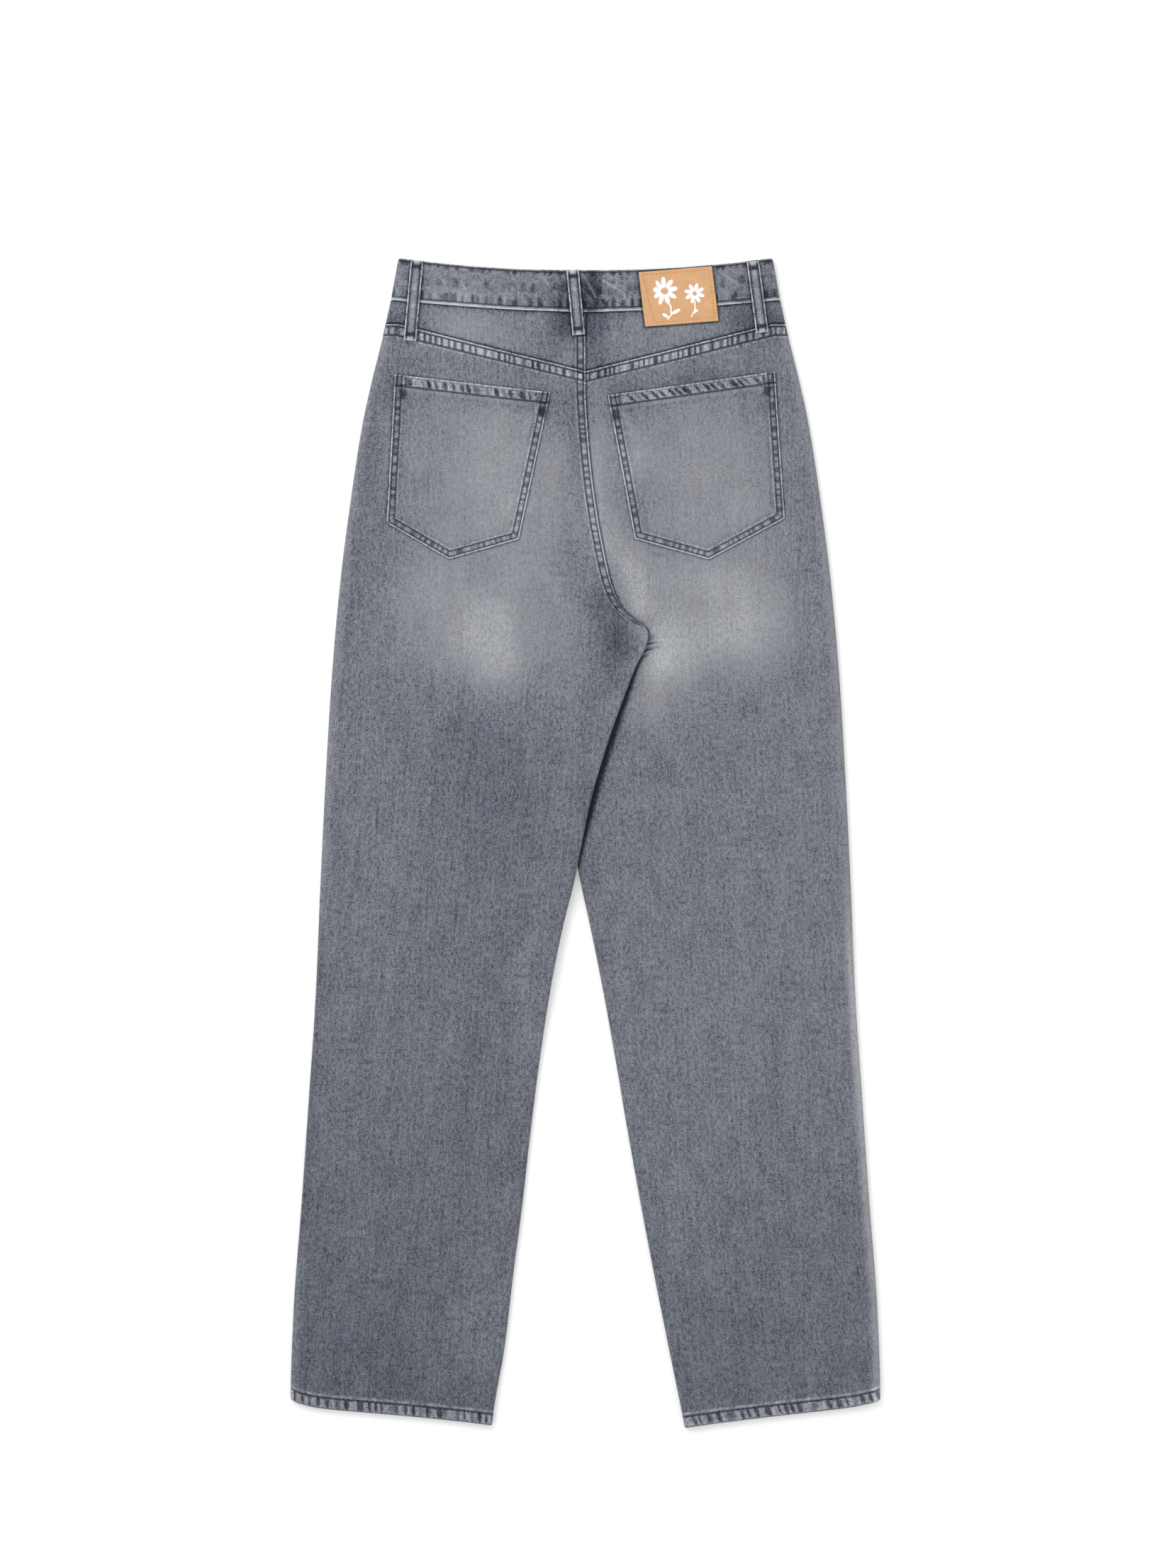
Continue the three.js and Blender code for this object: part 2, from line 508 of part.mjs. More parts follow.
// The waistband is one strip: from its inner end at the front, round the right side, across the back,
// round the left side, to the end with the buttonhole.
function waistbandGeometry() {
  const backParts = [0.86, 0.72, 0.58, 0.44, 0.3, 0.18, 0.08, 0];
  const frontParts = [0.3, 0.36, 0.4, 0.47, 0.58, 0.72, 0.86];
  const column = (part) => {
    const bottom = bandBottom(part * 172);
    const y = (v) => mix(bandTop(part * 166), bottom, v);
    return (v) => y(v) - 0;
  };
  const rowAt = (v) => {
    const outer = [];
    const inner = [];
    const put = (x, y, z, x2, z2) => {
      outer.push(new THREE.Vector3(x, y, z));
      inner.push(new THREE.Vector3(x2, y, z2));
    };
    const edge = at(SIDE_EDGE, mix(bandTop(166), bandBottom(172), v));
    const backY = (x) => mix(bandTop(x), bandBottom(x), v);
    const frontY = (x) => backY(x) - frontDrop(x);
    const frontPoint = (x, lift) => {
      const y = frontY(x);
      const z = waistLift(x, y) + lift;
      put(x, y, z, x, z + WAISTBAND_WALL);
    };
    const overTip = (x) => (WAISTBAND_WALL + SEAM_GAP) * near(x, BAND_TIP + 1, 21);
    const fold = (side) => {
      const radius = (seatTop(side, side * (edge - 3), backY(edge - 3)) + BAND_OVER_YOKE) / 2;
      const arc = [0, 1, 2, 3, 4, 5].map((k) => -Math.PI / 2 + (k * Math.PI) / 5);
      for (const angle of side > 0 ? arc : arc.reverse()) {
        const [across, up] = [Math.cos(angle), Math.sin(angle)];
        const x = side * (edge - radius + radius * across);
        const x2 = side * (edge - radius + (radius - WAISTBAND_WALL) * across);
        put(x, backY(edge - radius), radius + radius * up, x2, radius + (radius - WAISTBAND_WALL) * up);
      }
    };
    for (const x of [BAND_TAIL, -12, 0, BAND_TIP + 1, 21, 28, BAND_TIP + 23]) frontPoint(x, overTip(x));
    for (const part of frontParts) frontPoint(part * edge, 0);
    fold(1);
    for (const part of [...backParts, ...backParts.slice(0, -1).reverse().map((p) => -p)]) {
      const x = part * edge;
      const z = seatTop(Math.sign(x) || -1, x, backY(x)) + BAND_OVER_YOKE;
      put(x, backY(x), z, x, z - WAISTBAND_WALL);
    }
    fold(-1);
    for (const part of [...frontParts].reverse()) frontPoint(-part * edge, 0);
    for (const x of [-38, -25, -12, 0, 7, BAND_TIP]) frontPoint(x, 0);
    return { outer, inner };
  };
  const rows = [0, 0.25, 0.5, 0.75, 1].map(rowAt);
  return wallGeometry(rows.map((r) => r.outer), rows.map((r) => r.inner), true);
}

// Solid booleans
const wasm = await Module();
wasm.setup();

function toSolid(geometry) {
  const bare = geometry.clone();
  bare.deleteAttribute("normal");
  if (bare.getAttribute("uv")) bare.deleteAttribute("uv");
  const merged = mergeVertices(bare, 1e-4);
  return new wasm.Manifold(
    new wasm.Mesh({
      numProp: 3,
      vertProperties: new Float32Array(merged.attributes.position.array),
      triVerts: new Uint32Array(merged.index.array),
    }),
  );
}

function toGeometry(solid) {
  const mesh = solid.getMesh();
  const geometry = new THREE.BufferGeometry();
  geometry.setAttribute("position", new THREE.BufferAttribute(mesh.vertProperties, 3));
  geometry.setIndex(new THREE.BufferAttribute(mesh.triVerts, 1));
  geometry.computeVertexNormals();
  return geometry;
}

// The buttonhole goes through the outer end of the waistband only.
function waistband() {
  const depth = WAISTBAND_WALL + 1.2;
  const hole = new THREE.CylinderGeometry(BUTTONHOLE_RADIUS, BUTTONHOLE_RADIUS, depth, 16);
  hole.rotateX(Math.PI / 2);
  hole.translate(0, BUTTON_Y, waistLift(0, BUTTON_Y) - 0.9 + depth / 2);
  add("waistband", toGeometry(toSolid(waistbandGeometry()).subtract(toSolid(hole))));
}

// Shank button: a dished head on the table side and a shank up through the buttonhole.
function button() {
  const shankTop = waistLift(0, BUTTON_Y) + WAISTBAND_WALL;
  const profile = [
    [0, 0.5], [5.2, 0.5], [6.2, 0], [7.6, 0], [BUTTON_RADIUS, 0.8], [BUTTON_RADIUS, 1.3],
    [7.8, BUTTON_HEAD], [SHANK_RADIUS, BUTTON_HEAD], [SHANK_RADIUS, shankTop], [0, shankTop],
  ].map(([radius, z]) => new THREE.Vector2(radius, z));
  const geometry = new THREE.LatheGeometry(profile, 20);
  geometry.rotateX(Math.PI / 2);
  geometry.translate(0, BUTTON_Y, 0);
  const metal = new THREE.MeshStandardMaterial({ color: METAL_GREY, roughness: 0.35, metalness: 1 });
  add("button", geometry, metal);
}

// Closed zip behind the fly: a tape with the row of teeth standing up along its middle.
const ZIP_TOP = 450;
const ZIP_BOTTOM = 344;

function zip() {
  const half = 11;
  const acrossTape = [-half, -2.8, -2.2, 2.2, 2.8, half];
  const plan = (u, v) => [u, mix(ZIP_TOP, ZIP_BOTTOM, v)];
  const under = (x, y) => topOf(["front_right"], x, y, 0.6) + SEAM_GAP;
  const thickness = (u) => (Math.abs(u) < 2.5 ? 1.7 : 0.9);
  overlay("zip", acrossTape, steps(6), plan, under, thickness);
}

for (const side of [-1, 1]) {
  back(side);
  yoke(side);
  front(side);
  facing(side);
  pocket(side);
  frontLoop(side);
}
waistband();
for (const [name, ends] of Object.entries(BACK_LOOPS)) backLoop(name, ends);
patch();
button();
zip();

export default garment;
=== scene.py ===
# High-waisted, straight-leg jeans laid flat with the seat side up: cloth, sewing and finish.
# Lengths in the shape functions are millimetres: x to the wearer's right, y towards the waist, z up.
import math
from collections import namedtuple

import bpy
import numpy as np
from bpy.props import FloatProperty, FloatVectorProperty, PointerProperty
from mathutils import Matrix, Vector
from mathutils.bvhtree import BVHTree


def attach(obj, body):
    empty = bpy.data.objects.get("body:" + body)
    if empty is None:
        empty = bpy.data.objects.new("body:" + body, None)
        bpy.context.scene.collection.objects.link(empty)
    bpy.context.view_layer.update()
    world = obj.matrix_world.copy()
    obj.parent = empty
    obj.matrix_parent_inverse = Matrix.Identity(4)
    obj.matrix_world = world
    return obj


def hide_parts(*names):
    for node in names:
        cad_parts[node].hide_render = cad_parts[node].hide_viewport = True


bl_info = {
    "name": "Laid-flat jeans",
    "version": (1, 0, 0),
    "blender": (4, 5, 0),
    "location": "3D View > Sidebar > Jeans",
    "description": "Builds a pair of high-waisted jeans lying on a table, piece by piece",
    "category": "Add Mesh",
}

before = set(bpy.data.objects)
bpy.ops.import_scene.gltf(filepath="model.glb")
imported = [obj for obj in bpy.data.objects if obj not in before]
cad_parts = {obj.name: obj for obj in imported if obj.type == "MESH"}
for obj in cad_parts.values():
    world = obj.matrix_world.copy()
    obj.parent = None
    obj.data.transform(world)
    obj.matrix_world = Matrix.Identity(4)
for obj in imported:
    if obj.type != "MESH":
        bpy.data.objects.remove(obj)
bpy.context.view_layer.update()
MM = 0.001
PHOTO_WIDTH, PHOTO_HEIGHT = 1659, 2212
PIXEL = 0.63  # millimetres of garment in one pixel of the photograph
PHOTO_ORIGIN = (826.0, 1189.5)  # the pixel over the garment's origin


def srgb(red, green, blue):
    """A colour given as 0 to 255 display values, as scene values."""
    shares = [value / 255 for value in (red, green, blue)]
    return [share / 12.92 if share <= 0.04045 else ((share + 0.055) / 1.055) ** 2.4 for share in shares]


# Settings


def length(name, description, default):
    return FloatProperty(
        name=name, description=description, default=default, min=0, unit="LENGTH", precision=5
    )


def colour(name, description, default):
    return FloatVectorProperty(
        name=name, description=description, default=default, subtype="COLOR", min=0, max=1
    )


def share(name, description, default):
    return FloatProperty(
        name=name, description=description, default=default, min=0, soft_max=1, subtype="FACTOR"
    )


class JeansCloth(bpy.types.PropertyGroup):
    """Denim and leather"""

    wall: length("Wall", "Thickness of one layer of denim", 0.0006)
    band_wall: length("Waistband wall", "Thickness of the waistband's two layers", 0.0014)
    pocket_wall: length("Pocket wall", "Thickness of a back pocket", 0.0009)
    loop_wall: length("Loop wall", "Thickness of a folded belt loop", 0.0012)
    leather_wall: length("Leather", "Thickness of the patch", 0.0011)
    # The darkest stop is both the unfaded denim in a seam's depth and the colour of the painted shadows
    # beside what lies on the cloth
    ink_and_shadow: colour("Unfaded", "Denim in the depth of a seam", srgb(28, 30, 36))
    deep: colour("Deep", "Least faded denim", srgb(69, 73, 83))
    middle: colour("Middle", "Denim of the legs", srgb(103, 107, 117))
    pale: colour("Pale", "Faded denim of the seat", srgb(141, 143, 148))
    white: colour("White", "Denim worn through to white at an edge", srgb(188, 190, 193))
    grain: share("Grain", "Strength of the salt-and-pepper grain", 0.4)
    tan: colour("Leather", "Tan of the patch", srgb(216, 168, 122))


class JeansSewing(bpy.types.PropertyGroup):
    """Stitches and gathers"""

    pitch: length("Stitch pitch", "Distance from one stitch to the next", 0.00245)
    stitch: length("Stitch", "Length of the thread that shows", 0.0016)
    thread: length("Thread", "Thickness of the thread", 0.0008)
    gather_rise: length("Gather height", "Height of the gathers", 0.00042)
    thread_colour: colour("Thread colour", "Sewing thread of the denim", srgb(34, 36, 42))
    patch_thread_colour: colour("Patch thread", "Sewing thread of the patch", srgb(176, 116, 62))


class JeansStage(bpy.types.PropertyGroup):
    """Camera and light"""

    focal_length: FloatProperty(
        name="Lens", description="Focal length", default=90, min=20, subtype="DISTANCE_CAMERA"
    )
    room_light: FloatProperty(
        name="Room light", description="Strength of the even white light", default=0.84, min=0
    )
    key_power: FloatProperty(
        name="Key light", description="Power of the soft light", default=24, min=0, unit="POWER"
    )
    key_size: length("Key size", "Side of the soft light", 1.6)


# Shape of the garment as it lies


def smooth(t):
    t = np.clip(t, 0, 1)
    return t * t * (3 - 2 * t)


def near(distance, flat, fade):
    """1 within flat of a place, and down to 0 over the next fade."""
    return 1 - smooth((np.abs(distance) - flat) / fade)


def bell(distance, width):
    return np.exp(-((distance / width) ** 2))


def mix(a, b, t):
    return a + (b - a) * t


def wobble(t, seed):
    """A smooth irregular wave between -1 and 1."""
    return (np.sin(t + seed * 1.7) + np.sin(2.31 * t + seed * 2.9) + np.sin(3.87 * t + seed * 0.8)) / 3


def follow(table, y):
    """The x of a table of (y, x) rows at the heights y, on a smooth line that never overshoots its rows."""
    ys, xs = np.array(table, float)[::-1].T
    slopes = np.diff(xs) / np.diff(ys)
    product = slopes[:-1] * slopes[1:]
    total = slopes[:-1] + slopes[1:]
    means = np.where(product > 0, 2 * product / np.where(total == 0, 1, total), 0)
    tangents = np.concatenate([slopes[:1], means, slopes[-1:]])
    y = np.clip(y, ys[0], ys[-1])
    i = np.clip(np.searchsorted(ys, y, side="right") - 1, 0, len(ys) - 2)
    step = ys[i + 1] - ys[i]
    t = (y - ys[i]) / step
    return (
        (1 + 2 * t) * (1 - t) ** 2 * xs[i]
        + t * (1 - t) ** 2 * step * tangents[i]
        + t * t * (3 - 2 * t) * xs[i + 1]
        - t * t * (1 - t) * step * tangents[i + 1]
    )


# Sizes of the garment as it lies, the same as on its solids. A side is -1 for the left leg and 1 for the
# right one.
SIDE_NAME = {-1: "left", 1: "right"}
SEAM_GAP = 0.3  # free space between neighbours
SEAM_RISE = 0.5  # height of a stitched seam over the cloth beside it
WRAP = 12  # how far the backs turn under to the side seams
FLAT_BEFORE_TURN = 7  # width of the finer columns before the turn of an inner edge
FRONT_JOIN = {-1: 186, 1: 155}  # where the inner edge of a front begins to follow that of its back

# Heights over the table of the garment's upper face: LOFT in general, the others at a place
LOFT = 4.4
WAIST_LOFT = 5.2
HEM_LOFT = 5.7
SIDE_FOLD_LOFT = 5.8
HEM_FOLD_LOFT = 6.4
INNER_FOLD_LOFT = 5.2
LEG_LIFT = 4.8  # added where the left leg lies over the right one
CROTCH_RISE = 3.0  # added to the right of the seat seam, just above the crotch

# Waistband: its edges at the middle of the back, how much higher they are at the sides, and half its
# width there
BAND_TOP = 508.7
BAND_TOP_RISE = 11.2
BAND_TOP_HALF = 166
BAND_BOTTOM = 471.6
BAND_BOTTOM_RISE = 11
BAND_BOTTOM_HALF = 172
BAND_HEIGHT = 37
BAND_OVER_YOKE = 0.8
BAND_EDGE_WORN = 0.6  # by how much the pale line of its top edge is narrower than that of a seam
BAND_TIP = 14  # its two ends at the front
BAND_TAIL = -24
FRONT_DROP = 10  # how much lower the waist is at the front
BUTTON_Y = 480

# Yoke, belt loops, front pocket mouths, fly and hems
YOKE_POINT = 419.3
YOKE_SIDE_RISE = 42
LOOP_WIDTH = 11
FRONT_LOOP_X = 66
FRONT_LOOP_LIFT = 1.5
SCOOP_RADIUS = 76
MOUTH_TOP_X = 107
MOUTH_FOOT_Y = 384
MOUTH_SEAM_LOW = 372  # the mouth's sewing ends here, at the side
MOUTH_ROWS = 26  # rows of the mesh along the pocket's mouth
MOUTH_LAST_ROW = 366
FACING_X = 92
FACING_TOP = 478
FACING_BOTTOM = 368
FACING_FROM_SIDE = 6.4
FACING_HEIGHT = 1.75
FLY_EDGE_LOW = 334
FLY_STITCH_TOP = 458
FLY_STITCH_X = 30
FLY_BEND_Y = 362
FLY_BEND_DROP = 34
FLY_ROWS_APART = 6
HEM = {-1: (-517.2, 23.5, 9), 1: (-519.5, 25, 6.5)}  # inner height, rise to the side, bow
HEM_CORNER = 12
HEM_DEPTH = 12.2
HEM_INSET = 1.3  # how far the turned-up end of a hem lies behind its outer face

# Outer faces of what lies on the garment, over the cloth beneath and the seam gap
POCKET_RISE = 1.15
LOOP_RISE = 1.5
PATCH_RISE = 1.25

# Distances of the rows of stitches from the edge of their seam
YOKE_ROWS = (2.1, 8.9)
SEAT_ROWS = (2.0, 7.0)
POCKET_ROWS = (1.9, 6.3)
POCKET_TOP_ROW = 9.8
BAND_TOP_ROW = 2.0
BAND_LOW_ROW = 3.3
LOOP_ROW = 1.9
HEM_ROW = 9.8
MOUTH_ROWS_OF_STITCHES = (1.9, 7.5)
FLY_ROW = 2.0
ALONE = 200  # stands for a second row where there is none
FAR = 99  # stands for the distance from a seam where there is none
PAST_HEM = 50  # added to the distance from the hem on its turned-up end

# The denim's pattern on each piece: how far it is moved, and how far a leg's grain leans out, a millimetre
PATTERN_SHIFT = {"back": 900, "yoke": 2500, "front": 4100, "pocket": 5700}
GRAIN_LEAN = 0.07

# Gathers of a stitched seam. distance and along name the attributes that hold the distance from the edge
# and the place along it, or "u" or "v" for the cloth's own grain. They lie from first to last, one pitch
# apart, lean by lean millimetres a millimetre, and their dark dips take up share of the seam. rounded
# narrows the dips at both ends, and ragged lets the ends vary.
Gathers = namedtuple("Gathers", "distance along pitch share lean first last rounded ragged lighter darker")
YOKE_GATHERS = Gathers("yoke_seam", "u", 6.3, 0.42, 0.0, 2.6, 8.5, 0.03, 0.3, 0.27, 0.36)
SEAT_GATHERS = Gathers("seat_seam", "v", 7.0, 0.5, 0.0, 2.3, 6.8, 0.06, 0.3, 0.14, 0.27)
YOKE_SEAT_GATHERS = SEAT_GATHERS._replace(lighter=0.2, darker=0.12)
HEM_GATHERS = Gathers("hem", "u", 8.6, 0.5, 0.15, 1.4, 9.2, 0.10, 1.6, 0.26, 0.32)
BACK_HEM_LEAN = {-1: 0.1, 1: 0.32}
POCKET_SIDE_GATHERS = Gathers(
    "border_gathers", "border_along", 7.4, 0.52, 0.0, 2.1, 6.2, 0.06, 0.4, 0.12, 0.30
)
POCKET_TOP_GATHERS = Gathers("top_gathers", "top_along", 7.6, 0.5, -0.5, 2.2, 8.8, 0.12, 0.8, 0.22, 0.40)
POCKET_TOP_LEAN = {-1: -0.35, 1: -0.75}
BAND_LOW_GATHERS = Gathers("low_edge", "u", 12.0, 0.5, 0.0, 3.6, 10.5, 0.05, 4.5, 0.05, 0.36)
BAND_TOP_GATHERS = Gathers("top_edge", "u", 8.5, 0.5, 0.1, 2.2, 6.0, 0.10, 2.4, 0.04, 0.34)

# Edges from the waist to the hem, as (y, x): the outer edge of either leg, the seat seam with the left leg's
# inner edge, the right leg's inner edge, and the inner edges of the fronts down to the crotch
SIDE_EDGE = [
    (520, 166.4), (484, 173), (447, 181), (415, 189), (371, 198.6), (308, 208.4), (233, 218),
    (151, 225.4), (56, 231.2), (-38, 235.8), (-133, 239.8), (-227, 246), (-322, 252.6), (-416, 259.6),
    (-488, 262), (-520, 262),
]
SEAT_SEAM = [
    (480, 0), (405, 0), (363, 2.3), (327, 5.7), (292, 10.5), (267, 15), (237, 21.5), (220, 27), (209, 33),
    (200, 42.5), (195, 49.5), (190, 54.8), (185, 56), (175, 54), (157, 45), (135, 36.4), (99, 23.3),
    (59, 10.7), (35, 4.2), (-7, -4.4), (-38, -10.7), (-70, -18.9), (-133, -31.5), (-196, -41),
    (-259, -49), (-322, -56.1), (-385, -64.3), (-448, -71.8), (-501, -81), (-520, -83.4),
]
UNDER_EDGE = [
    (190, 54.8), (186, 54), (181, 34), (174, 6), (166, -14), (155, -24), (138, -29), (120, -30), (80, -26.5),
    (40, -19), (0, -11), (-38, -3.8), (-70, 3.2), (-133, 15.8), (-196, 27.1), (-259, 37.8), (-322, 49.1),
    (-385, 61.1), (-448, 73.7), (-501, 84.5), (-520, 88.2),
]
LEFT_FRONT_EDGE = [
    (480, 10), (345, 10), (334, 8), (322, -0.15), (236, -0.15), (230, 3), (222, 13), (214, 23), (207, 31),
    (200, 40), (195, 47), (190, 52.5),
]
RIGHT_FRONT_EDGE = [
    (480, -12), (345, -12), (334, -9), (322, 0.15), (234, 0.15), (222, -3), (200, -9), (175, -17), (155, -24),
]


def inner_edge(side, y):
    y = np.asarray(y, float)
    seam = follow(SEAT_SEAM, y)
    return seam if side < 0 else np.where(y > UNDER_EDGE[0][0], seam, follow(UNDER_EDGE, y))


def hem_zone(y):
    return smooth((-y - 466) / 26)


def band_top(x):
    return BAND_TOP + BAND_TOP_RISE * (x / BAND_TOP_HALF) ** 2


def band_bottom(x):
    return BAND_BOTTOM + BAND_BOTTOM_RISE * (np.abs(x) / BAND_BOTTOM_HALF) ** 1.5


def front_drop(x):
    return FRONT_DROP * (1 - np.clip(np.abs(x) / 150, 0, 1) ** 2)


def leg_lift(x, y):
    reach = x - follow(UNDER_EDGE, np.minimum(y, 120))
    return LEG_LIFT * smooth((reach + 78) / 40) * smooth((255 - y) / 50)


def waist_lift(x, y):
    button = 2.5 * near(x, 11, 34) * near(y - BUTTON_Y, 11, 22)
    return button + FRONT_LOOP_LIFT * near(np.abs(x) - FRONT_LOOP_X, 8, 16) * smooth((y - 428) / 18)


def front_under(side, x, y):
    """Height of the face of a front piece that lies on the table."""
    over = leg_lift(x, y) if side < 0 else 1.5 * near(x, 12, 24) * smooth((y - 298) / 24)
    return waist_lift(x, y) + over


def inner_fold_loft(side, y):
    loft = mix(LOFT, INNER_FOLD_LOFT, smooth((-10 - y) / 70)) if side > 0 else INNER_FOLD_LOFT
    return mix(loft, HEM_FOLD_LOFT, hem_zone(y))


def seat_top(side, x, y):
    """Height of the seat and the backs of the legs."""
    hem = hem_zone(y)
    base = mix(mix(LOFT, WAIST_LOFT, smooth((y - 425) / 30)), HEM_LOFT, hem)
    outer = (mix(SIDE_FOLD_LOFT, HEM_FOLD_LOFT, hem) - base) * near(follow(SIDE_EDGE, y) - np.abs(x), 4, 28)
    inner = (inner_fold_loft(side, y) - base) * near(x - inner_edge(side, y), 4, 24) * smooth((205 - y) / 25)
    fly = 2.2 * near(x, 28, 45) * smooth((y - 295) / 40)
    button = 1.5 * near(x, 26, 34) * near(y - BUTTON_Y, 20, 30)
    hump = CROTCH_RISE * near(x - follow(SEAT_SEAM, y), 4, 42)
    hump = hump * smooth((255 - y) / 30) * smooth((y - 191) / 15)
    return base + outer + inner + fly + button + (leg_lift(x, y) if side < 0 else hump)


def hem_sag(side, y, from_fold, width):
    """How far the hem's line lies off a straight one, over the distance from the fold at the side."""
    across = np.clip(1 - from_fold / width, 0, 1)
    return -HEM[side][2] * across**1.5 * (1 - np.exp(-from_fold / HEM_CORNER)) * smooth((-y - 440) / 60)


def edge_turn(side, y):
    """How far an inner edge turns towards the other layer, from 0 at the seat to 1 along the leg."""
    return smooth((250 - y) / 58) if side < 0 else smooth((178 - y) / 22)


# Wash: where the cloth is faded, or darker; the seat's table also holds one spot of painted shadow. Centre,
# reach both ways, and how much lighter. The tone of the cloth is 0 unfaded, 0.5 the legs' middle grey and 1
# worn white.
SEAT_WASH_AND_SHADOW = [
    (-88, 178, 36, 42, 0.15), (-120, 196, 62, 56, 0.17), (-108, 330, 78, 84, 0.16),
    (-76, 336, 34, 64, 0.10), (-44, 216, 38, 80, 0.12), (-74, 138, 24, 34, 0.12),
    (-64, 242, 26, 18, 0.06), (-132, 232, 34, 34, 0.07), (-96, 272, 48, 20, 0.06),
    (-30, 318, 24, 72, 0.08), (14, 340, 12, 74, 0.11), (-26, 322, 14, 40, 0.06), (26, 250, 14, 40, 0.13),
    (4, 318, 15, 52, 0.12), (20, 275, 14, 30, 0.09), (43, 236, 14, 38, 0.13), (40, 345, 14, 40, 0.10),
    (-16, 172, 20, 46, 0.06), (104, 206, 82, 60, 0.27), (70, 168, 36, 38, 0.08), (150, 180, 30, 40, 0.05),
    (106, 336, 70, 66, 0.16), (70, 146, 30, 28, 0.07), (46, 116, 22, 24, 0.06), (74, 104, 26, 24, 0.05),
    (84, 212, 26, 28, -0.07), (168, 272, 40, 24, 0.05), (-106, 458, 60, 26, 0.18),
    (46, 444, 40, 22, 0.06), (84, 462, 30, 14, 0.08), (112, 410, 40, 12, -0.12), (36, 398, 16, 12, -0.10),
    (-80, 398, 30, 10, -0.06), (154, 463, 26, 16, -0.24), (150, 298, 30, 22, 0.06),
    (84, 284, 40, 18, 0.05), (-158, 460, 24, 14, -0.16), (-70, 484, 18, 24, -0.06),
    (-15, 463, 15, 18, -0.27), (6, 462, 14, 20, -0.23), (14, 426, 14, 16, -0.11),
    (22, 208, 18, 38, -0.20), (38, 181, 20, 18, -0.22), (34, 158, 22, 24, -0.12),
    (-86, 70, 44, 80, -0.05), (-74, 110, 26, 46, -0.02), (-86, -200, 36, 180, -0.02),
    (-200, 60, 44, 200, 0.03), (-30, 90, 34, 90, 0.03), (120, -120, 110, 230, 0.015),
    (190, 60, 50, 150, 0.02), (-170, -470, 90, 60, -0.03), (-84, -380, 36, 90, 0.05),
    (-50, -150, 16, 80, 0.05), (-106, -440, 50, 40, 0.07), (84, -330, 22, 40, 0.05),
    (130, -428, 30, 20, -0.05), (110, 0, 120, 200, -0.015), (-46, 20, 18, 40, -0.04),
    # The spot at (0, 30) is painted shadow beside the left leg's lifted inner edge
    (60, 160, 14, 30, 0.09), (0, 30, 10, 20, -0.09), (-60, 300, 14, 12, 0.07), (2, 268, 10, 24, 0.06),
    (50, 340, 18, 14, 0.05), (-194, 330, 20, 120, -0.03), (198, 330, 18, 120, -0.02),
    (-165, 396, 14, 14, -0.08), (30, 380, 16, 12, -0.05), (-44, 392, 26, 12, -0.06),
    (160, 395, 14, 22, -0.03), (-150, 320, 30, 14, -0.04), (-20, 418, 10, 12, 0.06),
]
BAND_WASH = [
    (-19, 481, 17, 26, -0.27), (5, 485, 10, 30, -0.50), (-118, 480, 14, 14, 0.09),
    (-110, 486, 60, 14, 0.06), (-60, 488, 30, 22, -0.06), (-152, 478, 20, 30, -0.08),
    (154, 480, 18, 30, -0.16), (140, 476, 22, 12, -0.10), (36, 484, 16, 18, -0.04),
    (80, 482, 40, 22, -0.06), (-170, 470, 14, 10, 0.06),
]
FRONT_WASH = [
    (130, 150, 70, 170, 0.18), (120, 330, 70, 70, 0.08), (60, 200, 60, 40, 0.06), (150, -150, 80, 160, 0.06),
]
LEG_TONE = 0.49
FRONT_TONE = 0.5
FACING_TONE = 0.46
LOOP_TONE = 0.5
BAND_TONE = 0.6
# Painted light on the rounded outer folds: the outer edges are drawn lighter. Further down, the left leg's
# edge gets painted shade and the right one more painted light.
EDGE_PAINTED_LIGHT = 0.12  # how much lighter the outer edges are from waist to thigh
LEG_EDGE_PAINTED_LIGHT = {-1: -0.05, 1: 0.28}  # the same further down


def tone_spots(spots, x, y):
    total = 0
    for centre_x, centre_y, reach_x, reach_y, lighter in spots:
        distance = ((x - centre_x) / reach_x) ** 2 + ((y - centre_y) / reach_y) ** 2
        total = total + lighter * np.exp(-(distance**1.5))
    return total


def hem_fall(y):
    """How the tone falls towards the hems."""
    return -0.08 * smooth((-y - 150) / 330)


def leg_tone(x, y):
    """Tone of the yoke, the seat and the backs of the legs. The right half is a little lighter."""
    side = mix(0.0, 0.045, smooth((x + 20) / 60))
    patchy = 0.02 * wobble(x / 19, 1) * wobble(y / 90, 2)
    return LEG_TONE + side + hem_fall(y) + tone_spots(SEAT_WASH_AND_SHADOW, x, y) + patchy


# Creases on the seat and legs: middle, direction in degrees, half length, half width, height
CREASES = [
    (-36, 232, 118, 46, 5, 0.45), (-10, 205, 128, 34, 4, 0.4), (20, 148, 60, 26, 4, -0.4),
    (-150, 232, 20, 44, 7, 0.35), (150, 236, 160, 42, 7, 0.35), (-120, 120, 8, 60, 9, 0.4),
    (128, 112, 172, 58, 9, 0.4), (-64, 20, 78, 80, 8, -0.4), (-170, -40, 86, 120, 10, 0.35),
    (130, -60, 96, 130, 10, 0.35), (60, -10, 100, 70, 7, -0.35), (-110, -220, 84, 110, 9, -0.35),
    (170, -240, 98, 120, 10, -0.35), (-200, -360, 84, 90, 9, 0.35), (120, -380, 100, 90, 9, 0.3),
    (-130, -430, 82, 60, 8, -0.3), (205, -430, 100, 60, 8, 0.3),
]


def creases(x, y):
    total = 0
    for centre_x, centre_y, degrees, half_length, half_width, rise in CREASES:
        angle = math.radians(degrees)
        along = (x - centre_x) * math.cos(angle) + (y - centre_y) * math.sin(angle)
        across = (y - centre_y) * math.cos(angle) - (x - centre_x) * math.sin(angle)
        across = across + half_width * 0.6 * wobble(along / half_length * 2, centre_x)
        total = total + rise * near(along, half_length * 0.2, half_length * 0.8) * bell(across, half_width)
    return total


